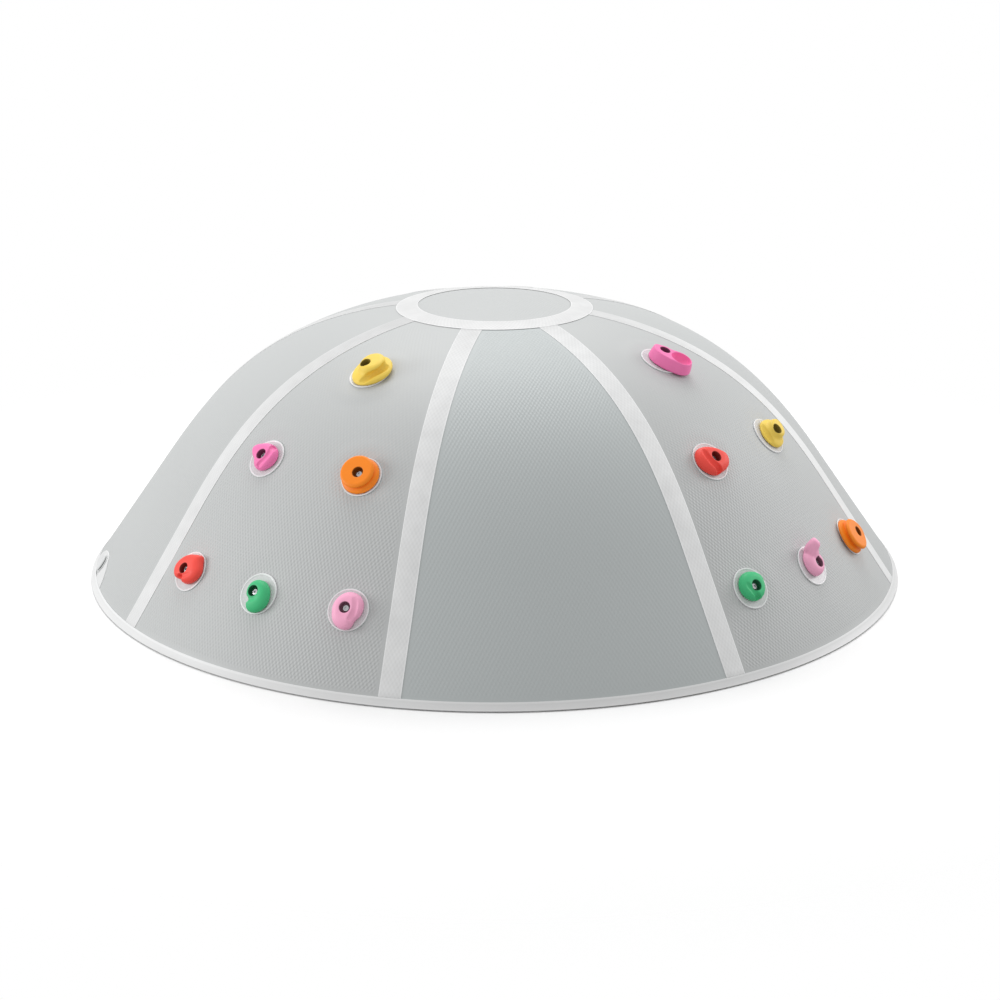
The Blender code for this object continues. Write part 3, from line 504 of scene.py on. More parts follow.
def weave_height(graph, look):
    """Staggered lens-shaped bumps laid out over the UV map in metres."""
    mapping = graph.node("ShaderNodeMapping")
    mapping.inputs["Scale"].default_value = (math.tau / look.weave_across, math.tau / look.weave_along, 1)
    graph.link(graph.metres(), mapping.inputs["Vector"])
    axes = graph.axes(mapping.outputs["Vector"])
    return graph.span(graph.times(graph.math("SINE", axes["X"]), graph.math("SINE", axes["Y"])), -1.0, 1.0)


def skin_material(look, name, painted_light, weave=(1.0, 1.0)):
    """Coated fabric with a fine embossed weave that fades out beside the welded tapes, with painted shade in the
    weave's valleys and painted light on its crests.

    The two numbers in weave are how strongly it shows near the crown and near the foot.
    """
    # painted_light tints the colour for the piece's place on the dome, as bluish painted shade on the front gore
    colour = tuple(a * b for a, b in zip(look.skin, painted_light))
    graph = Graph(name, colour, 0.52)
    height = weave_height(graph, look)
    inside = graph.span(graph.edge(), *WEAVE_FADE)
    gain = graph.span(graph.axes(graph.metres())["Y"], *WEAVE_CHANGE, *weave)
    shown = graph.times(graph.math("SUBTRACT", height, 0.5), graph.times(inside, gain))
    broad = graph.noise(3.0, 2.0)
    fine = graph.noise(600.0, 2.0)
    # Painted shade and light: the colour follows the weave's height, darker in its valleys, besides the bump below
    tone = graph.plus(graph.times(shown, look.weave_painted_shade),
                      graph.times(graph.math("SUBTRACT", broad, 0.5), 0.10))
    tone = graph.plus(tone, 0.5, clamp=True)
    graph.colours(tone, colour, 0.82, 1.18)
    graph.rough(fine, 0.10, 0.46)
    relief = graph.plus(shown, graph.times(fine, 0.10))
    graph.bump(relief, look.weave_depth)
    return graph.material


def tape_material(look, name, painted_light=1.0):
    """Smooth welded film through which the weave shows faintly, with a raised line along its edges that carries a
    painted highlight, and painted shade toward the crown.
    """
    # painted_light makes this copy of the film lighter or darker for its place on the dome
    colour = scaled(look.tape, painted_light)
    graph = Graph(name, colour, 0.45)
    # Painted shade: the tape's tone drops toward the crown
    crown_shade = graph.span(graph.axes(graph.metres())["Y"], RING_OUTER, RING_OUTER + TAPE_CROWN_SHADE_REACH, TAPE_CROWN_SHADE, 0.0)
    height = weave_height(graph, look)
    streak = graph.noise(24.0, 4.0)
    fine = graph.noise(500.0, 2.0)
    # Painted highlight: a brighter line along the raised edges, as if they caught the light; the bump below also
    # raises them
    line = graph.span(graph.edge(), *WELD_EDGE_HIGHLIGHT, 1.0, 0.0)
    tone = graph.plus(graph.times(streak, 0.35), graph.times(height, 0.15))
    tone = graph.plus(tone, graph.times(line, 0.25))
    tone = graph.math("SUBTRACT", graph.plus(tone, 0.42), crown_shade, clamp=True)
    graph.colours(tone, colour, 0.62, 1.12)
    graph.rough(fine, 0.12, 0.38)
    relief = graph.plus(graph.times(height, 0.15), graph.times(fine, 0.3))
    graph.bump(graph.plus(relief, graph.times(line, 1.5)), 0.00012)
    return graph.material


def hem_material(look, top):
    """Film folded over the foot, with a raised welded line along its upper edge that carries a painted highlight."""
    graph = Graph("hem_film", look.tape, 0.45)
    # Painted highlight: the top of the band is brighter along its raised welded edge; the bump below also raises it
    line = graph.span(graph.axes(graph.place())["Z"], top - 0.0050, top - 0.0025)
    streak = graph.noise(16.0, 4.0)
    fine = graph.noise(500.0, 2.0)
    tone = graph.plus(graph.times(streak, 0.4), graph.times(line, 0.6), clamp=True)
    graph.colours(tone, look.tape, 0.89, 1.03)
    graph.rough(fine, 0.12, 0.38)
    graph.bump(graph.plus(graph.times(fine, 0.3), line), 0.0002)
    return graph.material


def cast_material(name, colour):
    """Cast resin with a fine sand grain, with painted shade down in its bolt hole."""
    graph = Graph(name, colour, 0.48)
    graph.shader.inputs["Specular IOR Level"].default_value = 0.35
    grain = graph.noise(900.0, 3.0)
    broad = graph.noise(45.0, 2.0)
    # Painted shade: the colour darkens inside the counterbore, where the deep bore would fall into shadow
    bore = graph.span(graph.from_axis(), COUNTERBORE_RADIUS + 0.0002, COUNTERBORE_RADIUS + 0.0016)
    tone = graph.times(graph.plus(graph.times(broad, 0.12), 0.90), bore)
    graph.colours(tone, colour, 0.28, 1.05)
    graph.rough(grain, 0.16, 0.42)
    graph.bump(grain, 0.00015)
    return graph.material


def moulded_material(name, colour):
    """Injection-moulded plastic with a faint skin texture."""
    graph = Graph(name, colour, 0.35)
    grain = graph.noise(700.0, 2.0)
    broad = graph.noise(30.0, 2.0)
    graph.colours(broad, colour, 0.97, 1.02)
    graph.rough(grain, 0.12, 0.29)
    graph.bump(grain, 0.00006)
    return graph.material


def disc_material(look):
    """Milky, partly clear plastic that is denser in its raised rim."""
    graph = Graph("milky_disc", look.disc, 0.25)
    rim = graph.span(graph.from_axis(), DISC_RADIUS - 0.0045, DISC_RADIUS - 0.0030)
    cloud = graph.noise(60.0, 3.0)
    body = graph.plus(look.disc_cover, graph.times(cloud, 0.12))
    graph.link(graph.plus(body, graph.times(rim, 0.35), clamp=True), graph.shader.inputs["Alpha"])
    grain = graph.noise(400.0, 2.0)
    graph.rough(grain, 0.15, 0.18)
    graph.bump(cloud, 0.0001)
    return graph.material


def steel_material(name, colour, roughness):
    """Bright metal with a fine grain."""
    graph = Graph(name, colour, roughness, 1.0)
    fine = graph.noise(1500.0, 2.0)
    graph.rough(fine, 0.12, roughness - 0.05)
    graph.bump(fine, 0.00002)
    return graph.material


def rubber_material(name, colour):
    graph = Graph(name, colour, 0.6)
    grain = graph.noise(800.0, 3.0)
    graph.colours(grain, colour, 0.8, 1.3)
    graph.bump(grain, 0.00008)
    return graph.material


def cloth_material(name, colour):
    graph = Graph(name, colour, 0.75)
    warp = graph.node("ShaderNodeTexWave", wave_type="BANDS", bands_direction="Z")
    warp.inputs["Scale"].default_value = 220.0
    graph.link(graph.place(), warp.inputs["Vector"])
    graph.colours(warp.outputs["Fac"], colour, 0.92, 1.04)
    graph.bump(warp.outputs["Fac"], 0.0001)
    return graph.material


def paint(thing, material):
    thing.data.materials.clear()
    thing.data.materials.append(material)


def paint_node(node, material):
    thing = NODES[node]
    for index in range(len(thing.material_slots)):
        thing.material_slots[index].material = material


# Settings

def colour_of(name, what, default):
    return bpy.props.FloatVectorProperty(name=name, description=f"Colour of the {what}", subtype="COLOR", size=3,
                                         min=0, max=1, default=default)


def length_of(name, description, default):
    return bpy.props.FloatProperty(name=name, description=description, unit="LENGTH", default=default)


def share_of(name, description, default):
    return bpy.props.FloatProperty(name=name, description=description, subtype="FACTOR", min=0, max=1,
                                   default=default)


def power_of(name, where, default):
    return bpy.props.FloatProperty(name=name, description=f"Power of the light {where}", unit="POWER",
                                   default=default)


class DomeLook(bpy.types.PropertyGroup):
    """Colours and surface detail of the dome."""

    skin: colour_of("Skin", "gores and the crown", (0.490, 0.503, 0.501))
    tape: colour_of("Tape", "tapes and the hem", (0.780, 0.785, 0.785))
    disc: colour_of("Disc", "anchor discs", (0.80, 0.80, 0.81))
    disc_cover: share_of("Disc cover", "How much of the skin a disc hides", 0.68)
    weave_across: length_of("Weave across", "Pitch of the embossing across a gore", 0.0090)
    weave_along: length_of("Weave along", "Pitch of the embossing along a gore", 0.0155)
    weave_depth: length_of("Weave depth", "Depth of the embossing", 0.00045)
    # Weave contrast is the strength of the painted shade and light that follow the embossing
    weave_painted_shade: share_of("Weave contrast", "Tone change over the embossing", 0.16)
    yellow: colour_of("Yellow", "yellow holds", (0.88, 0.63, 0.10))
    hot_pink: colour_of("Hot pink", "hot pink holds", (0.91, 0.20, 0.46))
    orange: colour_of("Orange", "orange holds", (0.99, 0.25, 0.008))
    red: colour_of("Red", "red holds", (0.90, 0.075, 0.055))
    green: colour_of("Green", "green holds", (0.055, 0.52, 0.21))
    light_pink: colour_of("Light pink", "light pink holds", (0.95, 0.43, 0.62))


class StageLook(bpy.types.PropertyGroup):
    """Light on the dome."""

    ambient: bpy.props.FloatProperty(name="Ambient", description="Brightness of the surroundings", min=0,
                                     default=0.70)
    top: power_of("Top light", "above", 102)
    left: power_of("Left light", "on the left", 68)
    right: power_of("Right light", "on the right", 45)
    floor: colour_of("Floor", "floor", (0.95, 0.95, 0.95))


# Skins and tapes

HOLD_NAMES = sorted(n[len("hold_"):] for n in NODES if n.startswith("hold_"))
HOLD_GORES = {"left": 7, "right": 1}
PLACES = {name: outward_frame(f"anchor_disc_{name}") for name in HOLD_NAMES}
VALVE_GORE = 6
# Painted shade: the front gore's colour is made bluer, as in shade; the side gores and the crown keep the plain
# colour
FRONT_PAINTED_SHADE = (0.965, 1.0, 1.005)
FRONT_WEAVE = (1.7, 0.8)
SIDE_TINT = (1.0, 1.0, 1.0)
SIDE_WEAVE = (0.35, 1.9)
# Painted light and shade on the tapes: one white film made lighter on the ring and the front tapes, darker on the
# side tapes and the valve patch
RING_PAINTED_LIGHT = 1.15
SIDE_TAPE_PAINTED_SHADE = 0.95
PATCH_PAINTED_SHADE = 0.92
TAPE_PAINTED_LIGHT = {7: 1.00, 0: 1.06, 1: 1.04, 6: 0.92}
TAPE_EDGE_DEPTH = 0.00025
TAPE_BEVEL = 0.0003
RING_LIFT = 0.0004
RING_MIDDLE_RADIUS = 0.212
SEATED_GRID = (150, 96)
PLAIN_GRID = (72, 40)
CROWN_COLUMNS = 96
RING_COLUMNS = 240
TAPE_COLUMNS = np.array((0.0, 0.006, 0.012, 0.017, 0.0205, 0.0225, 0.0238, SEAM_TAPE_WIDTH / 2))


class DOME_OT_gores(bpy.types.Operator):
    """Add the eight gores as smooth skins"""

    bl_idname = "dome.gores"
    bl_label = "Gores"

    def execute(self, context):
        look = context.scene.dome_look
        start = JOINT + GAP
        end = SEAM_LENGTH - (0.0024 + SKIN_DEPTH * math.cos(FLANK_ANGLE)) / math.sin(FLANK_ANGLE)
        valve = valve_frame()
        spots = {VALVE_GORE: [spot(valve, -GAP, *VALVE_SEAT)]}
        for name in HOLD_NAMES:
            gore = HOLD_GORES[name.rsplit("_", 1)[1]]
            spots.setdefault(gore, []).append(spot(PLACES[name], -GAP, *DISC_SEAT))
        for gore in range(GORES):
            rows, columns = SEATED_GRID if gore in spots else PLAIN_GRID
            distances = np.linspace(start, end, rows + 1)
            grid, across = [], []
            for distance in distances:
                radius = max(seam_point(distance)[0], RING_INNER_RADIUS)
                edge = HALF - math.asin(GAP / radius)
                turns = np.linspace(-edge, edge, columns + 1)
                points = [surface_point(distance, gore * PITCH + turn, SKIN_DEPTH) for turn in turns]
                grid.append([settled(point, spots.get(gore, ())) for point in points])
                across.append(turns * radius)

            def edge_distance(row, column):
                radius = seam_point(distances[row])[0]
                side = (HALF - abs(across[row][column]) / radius) * radius - SEAM_TAPE_WIDTH / 2
                return min(side, distances[row] - RING_OUTER, HEM_TOP - distances[row])

            mesh = grid_mesh(grid, f"gore_{gore + 1}", uv=lambda r, c: (across[r][c], distances[r]),
                             edge=edge_distance)
            made = new_object(f"skin_gore_{gore + 1}", mesh, "dome")
            thicken(made, SKIN)
            if gore == VALVE_GORE:
                pierced(made, valve, VALVE_HOLE_RADIUS)
            style = (FRONT_PAINTED_SHADE, FRONT_WEAVE) if gore == 0 else (SIDE_TINT, SIDE_WEAVE)
            paint(made, skin_material(look, f"gore_skin_{gore + 1}", *style))
            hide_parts(f"gore_panel_{gore + 1}")
        return {"FINISHED"}


class DOME_OT_crown(bpy.types.Operator):
    """Add the crown panel inside the ring"""

    bl_idname = "dome.crown"
    bl_label = "Crown panel"

    def execute(self, context):
        look = context.scene.dome_look
        count = CROWN_COLUMNS
        distances = np.linspace(0.004, JOINT - GAP, 22)
        turns = around(count)
        rows = [[surface_point(d, t, SKIN_DEPTH) for t in turns] for d in distances]
        mesh = grid_mesh(rows, "crown", closed=True,
                         uv=lambda r, c: (rows[r][c % count].x, rows[r][c % count].y),
                         edge=lambda r, c: RING_INNER - distances[r])
        bm = bmesh.new()
        bm.from_mesh(mesh)
        layer = bm.loops.layers.uv["metres"]
        rim = [e for e in bm.edges if e.is_boundary and e.verts[0].co.xy.length < 0.02]
        cap = bmesh.ops.edgeloop_fill(bm, edges=rim)["faces"]
        for face in cap:
            face.smooth = True
            for loop in face.loops:
                loop[layer].uv = loop.vert.co.xy
            if face.normal.z < 0:
                face.normal_flip()
        bm.to_mesh(mesh)
        bm.free()
        made = new_object("skin_crown", mesh, "dome")
        thicken(made, SKIN)
        paint(made, skin_material(look, "crown_skin", SIDE_TINT))
        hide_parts("crown_panel")
        return {"FINISHED"}


class DOME_OT_tapes(bpy.types.Operator):
    """Add the ring, the seam tapes and the hem"""

    bl_idname = "dome.tapes"
    bl_label = "Tapes and hem"

    def execute(self, context):
        look = context.scene.dome_look
        half_width = SEAM_TAPE_WIDTH / 2
        count = RING_COLUMNS
        turns = around(count)
        distances = np.linspace(RING_INNER, RING_OUTER, 9)
        rows = [[surface_point(d, t, -RING_LIFT) for t in turns] for d in distances]
        mesh = grid_mesh(rows, "ring", closed=True,
                         uv=lambda r, c: (c / count * math.tau * RING_MIDDLE_RADIUS, distances[r]),
                         edge=lambda r, c: min(distances[r] - RING_INNER, RING_OUTER - distances[r]))
        ring = new_object("crown_ring", mesh, "dome")
        thicken(ring, TAPE, TAPE_BEVEL)
        paint(ring, tape_material(look, "ring_film", RING_PAINTED_LIGHT))
        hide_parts("seam_tape")

        distances = np.linspace(RING_OUTER + 0.0002, HEM_TOP - GAP, 81)
        offsets = np.concatenate([-TAPE_COLUMNS[::-1], TAPE_COLUMNS[1:]])
        for seam in range(GORES):
            middle = (seam + 0.5) * PITCH
            rows = []
            for distance in distances:
                radius = seam_point(distance)[0]
                rows.append([surface_point(distance, middle + math.asin(o / radius),
                                           TAPE_EDGE_DEPTH * (abs(o) / half_width)**4) for o in offsets])
            mesh = grid_mesh(rows, "tape", uv=lambda r, c: (offsets[c], distances[r]),
                             edge=lambda r, c: half_width - abs(offsets[c]))
            arm = new_object(f"tape_{seam + 1}", mesh, "dome")
            thicken(arm, TAPE, TAPE_BEVEL)
            paint(arm, tape_material(look, f"tape_film_{seam + 1}", TAPE_PAINTED_LIGHT.get(seam, SIDE_TAPE_PAINTED_SHADE)))
            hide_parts("seam_tape")

        top_out, top_in = seam_point(HEM_TOP), seam_point(HEM_TOP, TAPE)
        lip = seam_point(HEM_TOP + 0.004, -0.0003)
        foot = seam_point(SEAM_LENGTH - 0.0065, -0.0002)
        profile = [top_in, top_out, lip, foot, (BASE_RADIUS - 0.0010, 0.0034), (BASE_RADIUS - 0.0018, 0.0016),
                   (BASE_RADIUS - 0.0036, 0.0004), (BASE_RADIUS - 0.0050, 0.0002)]
        hem = new_object("hem_band", turned([tuple(map(float, p)) for p in profile], 256, "hem"), "dome")
        shade(hem.data, 50)
        paint(hem, hem_material(look, float(top_out[1])))
        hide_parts("hem_tape")
        return {"FINISHED"}


class DOME_OT_inside(bpy.types.Operator):
    """Finish the base panel and the webs inside"""

    bl_idname = "dome.inside"
    bl_label = "Base and webs"

    def execute(self, context):
        look = context.scene.dome_look
        paint_node("base_panel", cloth_material("base_cloth", tuple(look.skin)))
        paint_node("inner_webs", cloth_material("web_cloth", (0.70, 0.71, 0.71)))
        return {"FINISHED"}


# Anchors, bolts and holds

class DOME_OT_discs(bpy.types.Operator):
    """Add the anchor discs under the holds"""

    bl_idname = "dome.discs"
    bl_label = "Anchor discs"

    def execute(self, context):
        bore = BOLT_RADIUS + 0.0004
        plain = [(bore, BOSS_HEIGHT), (BOSS_RADIUS, BOSS_HEIGHT), (BOSS_RADIUS, DISC_FLOOR),
                 (DISC_RADIUS - 0.0042, DISC_FLOOR), (DISC_RADIUS - 0.0030, DISC_FLANGE),
                 (DISC_RADIUS - 0.0006, DISC_FLANGE), (DISC_RADIUS, 0.0012), (DISC_RADIUS - 0.0003, 0.0),
                 (bore, 0.0)]
        mesh = turned(rounded(plain, 0.0005, 3), 96, "disc")
        shade(mesh, 40)
        mesh.materials.append(disc_material(context.scene.dome_look))
        for name in HOLD_NAMES:
            disc = new_object(f"disc_{name}", mesh, "dome", PLACES[name])
            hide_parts(f"anchor_disc_{name}")
        return {"FINISHED"}


class DOME_OT_bolts(bpy.types.Operator):
    """Add the bolts that hold the holds"""

    bl_idname = "dome.bolts"
    bl_label = "Bolts"

    def execute(self, context):
        under = BOLT_SEAT + GAP
        top = under + BOLT_HEAD_HEIGHT
        shape = [(0, top), (BOLT_HEAD_RADIUS, top), (BOLT_HEAD_RADIUS, under), (BOLT_RADIUS, under),
                 (BOLT_RADIUS, 0.001), (0, 0.001)]
        blank = helper(turned(rounded(shape, 0.0008, 4), 40, "bolt"))
        socket = helper(turned(((0, top + 0.004), (SOCKET_RADIUS, top + 0.004), (SOCKET_RADIUS, top - 0.003),
                                (0, top - 0.0045)), 6))
        combine(blank, "DIFFERENCE", socket)
        mesh = baked(blank)
        remove(socket)
        shade(mesh, 35)
        mesh.materials.append(steel_material("bright_bolt", (0.58, 0.58, 0.60), 0.22))
        for name in HOLD_NAMES:
            bolt = new_object(f"screw_{name}", mesh, "dome", PLACES[name])
            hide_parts(f"bolt_{name}")
        return {"FINISHED"}


# Side of a hold: share of its height, share of its outline
PEBBLE = ((0.0, 0.93), (0.06, 0.975), (0.16, 1.0), (0.40, 0.99), (0.62, 0.94), (0.80, 0.84), (0.92, 0.72),
          (0.98, 0.62), (1.0, 0.54))
BLOCK = ((0.0, 0.94), (0.06, 0.99), (0.14, 1.0), (0.60, 0.96), (0.90, 0.92), (0.97, 0.90), (1.0, 0.86))
SPOOL = ((0.0, 0.93), (0.06, 0.99), (0.16, 1.0), (0.28, 0.97), (0.40, 0.86), (0.50, 0.74), (0.58, 0.77),
         (0.68, 0.88), (0.80, 0.90), (0.92, 0.86), (1.0, 0.78))
JUG = ((0.0, 0.94), (0.08, 0.99), (0.20, 1.0), (0.32, 0.96), (0.42, 0.84), (0.52, 0.70), (0.66, 0.65),
       (0.84, 0.63), (0.95, 0.56), (1.0, 0.44))
HOLD_SMOOTHINGS = 7
HOLD_VOXEL = 0.00125
HOLD_COLUMNS = 72
HOLD_ROWS = 29
CREASE_RISE = 0.8

# Each hold in its own frame, in millimetres: height, side, lean of its top, outline as (degrees, radius), grooves
# and horns as paths of (x, y, z, radius), creases over its top as paths of (x, y, half width, depth), and a pocket
# as the middle and half sizes of an egg. Where nothing else is said, a hold is a PEBBLE, 21 mm high and upright.
HOLDS = {
    "yellow_left": dict(
        height=33, side=JUG, lean=(9, 9), soft=11,
        outline=((0, 54), (45, 55), (90, 54), (135, 48), (180, 41), (225, 42), (270, 46), (315, 49)),
        grooves=(((4, -54, 19, 8.5), (17, -35, 18.5, 9), (28, -17, 18.5, 9), (38, 1, 20.5, 9.5),
                  (45, 17, 24.5, 9.5), (49, 31, 30, 9.5)),)),
    "hot_pink_left": dict(
        outline=((5, 37), (50, 35), (90, 33), (130, 37), (165, 49), (182, 40), (212, 26), (265, 33), (320, 35)),
        creases=(((15, 33, 6, 3), (22, 17, 7, 4), (22, -2, 7, 4), (16, -18, 6.5, 3.5), (8, -32, 6, 2)),)),
    "orange_left": dict(
        height=22, side=SPOOL, lean=(-5, 4), soft=4, outline=((0, 45), (90, 43), (180, 44), (270, 45)),
        grooves=(((-8, -52, 13, 5), (18, -42, 13, 5.5), (36, -22, 13, 5.5), (44, 2, 13, 5), (42, 26, 14, 4)),)),
    "red_left": dict(
        outline=((5, 48), (32, 46), (45, 47), (57, 50), (68, 45), (84, 40), (110, 37), (150, 39), (187, 43),
                 (222, 38), (242, 29), (258, 25), (272, 29), (312, 36)),
        creases=(((-6, -25, 6, 2), (3, -20, 6.5, 3), (13, -16, 7, 3), (25, -9, 6, 2), (34, -2, 5, 1)),)),
    "green_left": dict(
        outline=((0, 37), (45, 32), (100, 29), (150, 25), (180, 23), (212, 23), (232, 24), (245, 30), (260, 42),
                 (288, 46), (330, 43)),
        creases=(((-18, -22, 6, 2), (-11, -21, 6.5, 3), (0, -20, 7, 3), (10, -16, 6, 2), (18, -11, 5, 1)),)),
    "light_pink_left": dict(
        outline=((5, 37), (45, 40), (90, 38), (130, 34), (170, 33), (205, 35), (245, 43), (286, 46), (314, 34),
                 (340, 35)),
        creases=(((17, 27, 5, 1), (23, 14, 7, 3), (25, -2, 7, 3.5), (23, -16, 7, 3), (20, -28, 6, 2)),)),
    "hot_pink_right": dict(
        height=29.5, side=BLOCK, lean=(2, -1), soft=3,
        outline=((299, 71), (319, 53), (332, 31), (346, 21), (20, 19), (65, 21), (100, 32), (125, 31), (164, 31),
                 (209, 36), (243, 50), (262, 66), (279, 74)),
        pocket=((11, -41, 33), (24.5, 24.5, 22))),
    "yellow_right": dict(
        height=30, side=JUG, lean=(9, 3),
        outline=((0, 45), (28, 49), (60, 39), (90, 35), (135, 31), (180, 33), (225, 35), (270, 38), (315, 42)),
        grooves=(((0, 48, 16, 6), (-15, 30, 16, 7), (-25, 9, 16, 7.5), (-28, -12, 16, 7.5),
                  (-28, -36, 17, 6.5)),)),
    "red_right": dict(
        height=23,
        outline=((0, 46), (28, 35), (70, 30), (105, 35), (135, 44), (175, 48), (215, 43), (248, 40), (285, 36),
                 (335, 45)),
        creases=(((-26, 27, 6, 3), (-26, 8, 8, 5.5), (-21, -10, 8.5, 7), (-12, -25, 8, 8), (-4, -38, 8, 8)),)),
    "green_right": dict(
        outline=((0, 33), (30, 38), (70, 36), (125, 37), (180, 37), (235, 33), (290, 31), (330, 31)),
        creases=(((-27, 12, 6, 2.5), (-21, 0, 7, 4), (-14, -13, 7.5, 5.5), (-8, -23, 7, 6), (-2, -33, 7, 6)),)),
    "light_pink_right": dict(
        outline=((0, 28), (45, 31), (110, 36), (180, 32), (235, 30), (290, 26), (330, 26)),
        horn=((0, 12, 8, 19), (1, 24, 14, 18), (0, 34, 22, 16.5), (1, 39, 30, 14.5), (5, 43.5, 38, 12.5),
              (7, 45, 42, 8.5))),
    "orange_right": dict(
        height=26, side=SPOOL, lean=(-1, -3), soft=4,
        outline=((0, 40), (45, 38), (90, 44), (135, 54), (180, 58), (225, 50), (270, 42), (315, 36)),
        grooves=(((-18, 46, 15, 5.5), (-6, 44, 15, 5.5), (8, 42, 15, 5)),)),
}
HOLDS = {name: {"height": 21, "side": PEBBLE, "lean": (0, 0), **shape} for name, shape in HOLDS.items()}


def periodic(marks, values, angle):
    """Smooth closed curve through values at marks in degrees."""
    order = np.argsort(marks)
    marks, values = np.array(marks, float)[order], np.array(values, float)[order]
    count = len(marks)
    index = int(np.searchsorted(marks, angle, "right")) - 1
    step = [index - 1, index, index + 1, index + 2]
    m = [marks[i % count] + 360 * (i // count) for i in step]
    v = [values[i % count] for i in step]
    t = (angle - m[1]) / (m[2] - m[1])
    slope0 = (v[2] - v[0]) / (m[2] - m[0]) * (m[2] - m[1])
    slope1 = (v[3] - v[1]) / (m[3] - m[1]) * (m[2] - m[1])
    return ((2 * t**3 - 3 * t**2 + 1) * v[1] + (t**3 - 2 * t**2 + t) * slope0 + (3 * t**2 - 2 * t**3) * v[2]
            + (t**3 - t**2) * slope1)


def smooth_path(points, per_span=6):
    """Curve through 4-number points, as a list of finer points."""
    p = np.array(points, float)
    p = np.vstack([2 * p[0] - p[1], p, 2 * p[-1] - p[-2]])
    out = []
    for i in range(1, len(p) - 2):
        for k in range(per_span):
            t = k / per_span
            out.append(0.5 * (2 * p[i] + (p[i + 1] - p[i - 1]) * t
                              + (2 * p[i - 1] - 5 * p[i] + 4 * p[i + 1] - p[i + 2]) * t**2
                              + (3 * p[i] - p[i - 1] - 3 * p[i + 1] + p[i + 2]) * t**3))
    out.append(p[-2])
    return out


def tube(path):
    """Round bar of varying radius along a path given in millimetres."""
    curve = bpy.data.curves.new("bar", "CURVE")
    curve.dimensions = "3D"
    curve.bevel_depth = 1.0
    curve.bevel_resolution = 6
    curve.use_fill_caps = True
    points = smooth_path(path)
    spline = curve.splines.new("POLY")
    spline.points.add(len(points) - 1)
    for index, point in enumerate(points):
        spline.points[index].co = (*(point[:3] / 1000), 1.0)
        spline.points[index].radius = point[3] / 1000
    mesh = baked(helper(curve))
    bm = bmesh.new()
    bm.from_mesh(mesh)
    bmesh.ops.remove_doubles(bm, verts=bm.verts, dist=1e-6)
    return mesh_of(bm, "bar")


def side_radius(shape, share, angle):
    """Radius of a hold at a share of its height and an angle in degrees, in millimetres."""
    marks, radii = zip(*shape["outline"])
    shares, scales = zip(*shape["side"])
    return float(np.interp(share, shares, scales)) * periodic(marks, radii, angle)


def hold_blank(shape):
    """Hold before its grooves, creases and bores are cut."""
    bm = bmesh.new()
    count = HOLD_COLUMNS
    lean = shape["lean"]
    rings = []
    for share in np.linspace(0, 1, HOLD_ROWS):
        height = HOLD_BOTTOM + share * shape["height"] / 1000
        ring = []
        for i in range(count):
            angle = 360 * i / count
            radius = side_radius(shape, share, angle) / 1000
            ring.append(bm.verts.new((radius * math.cos(math.radians(angle)) + share * lean[0] / 1000,
                                      radius * math.sin(math.radians(angle)) + share * lean[1] / 1000, height)))
        rings.append(ring)
    for lower, upper in zip(rings, rings[1:]):
        for i in range(count):
            j = (i + 1) % count
            bm.faces.new((lower[i], lower[j], upper[j], upper[i]))
    bm.faces.new(rings[0])
    bm.faces.new(rings[-1])
    return mesh_of(bm, "hold")


def top_height(shape, x, y):
    """Height of a hold's surface over a point of its frame, in millimetres."""
    for share in np.linspace(1, 0, 41):
        across, up = x - share * shape["lean"][0], y - share * shape["lean"][1]
        angle = math.degrees(math.atan2(up, across)) % 360
        if math.hypot(across, up) <= side_radius(shape, share, angle):
            return HOLD_BOTTOM * 1000 + share * shape["height"]
    return HOLD_BOTTOM * 1000


def crease(shape, path):
    """Bar that cuts a channel along a path over the hold's top and rises out of it at both ends."""
    points = []
    for x, y, half, depth in path:
        radius = (half**2 + depth**2) / (2 * depth)
        points.append([x, y, top_height(shape, x, y) + radius - depth, radius])
    for end, near in ((0, 1), (-1, -2)):
        points[end][3] = points[near][3]
        points[end][2] = top_height(shape, *points[end][:2]) + points[end][3] + CREASE_RISE
    return tube(points)


def cut_hold(mesh, tools, soft):
    """Apply (operation, mesh) tools to a hold, then round it off with a fine remesh and some smoothing."""
    blank = helper(mesh)
    used = []
    for operation, tool in tools:
        other = helper(tool)
        used.append(other)
        combine(blank, operation, other)
    step = blank.modifiers.new("remesh", "REMESH")
    step.mode = "VOXEL"
    step.voxel_size = HOLD_VOXEL
    step = blank.modifiers.new("soften", "SMOOTH")
    step.factor = 0.5
    step.iterations = soft
    made = baked(blank)
    for other in used:
        remove(other)
    made.shade_smooth()
    return made


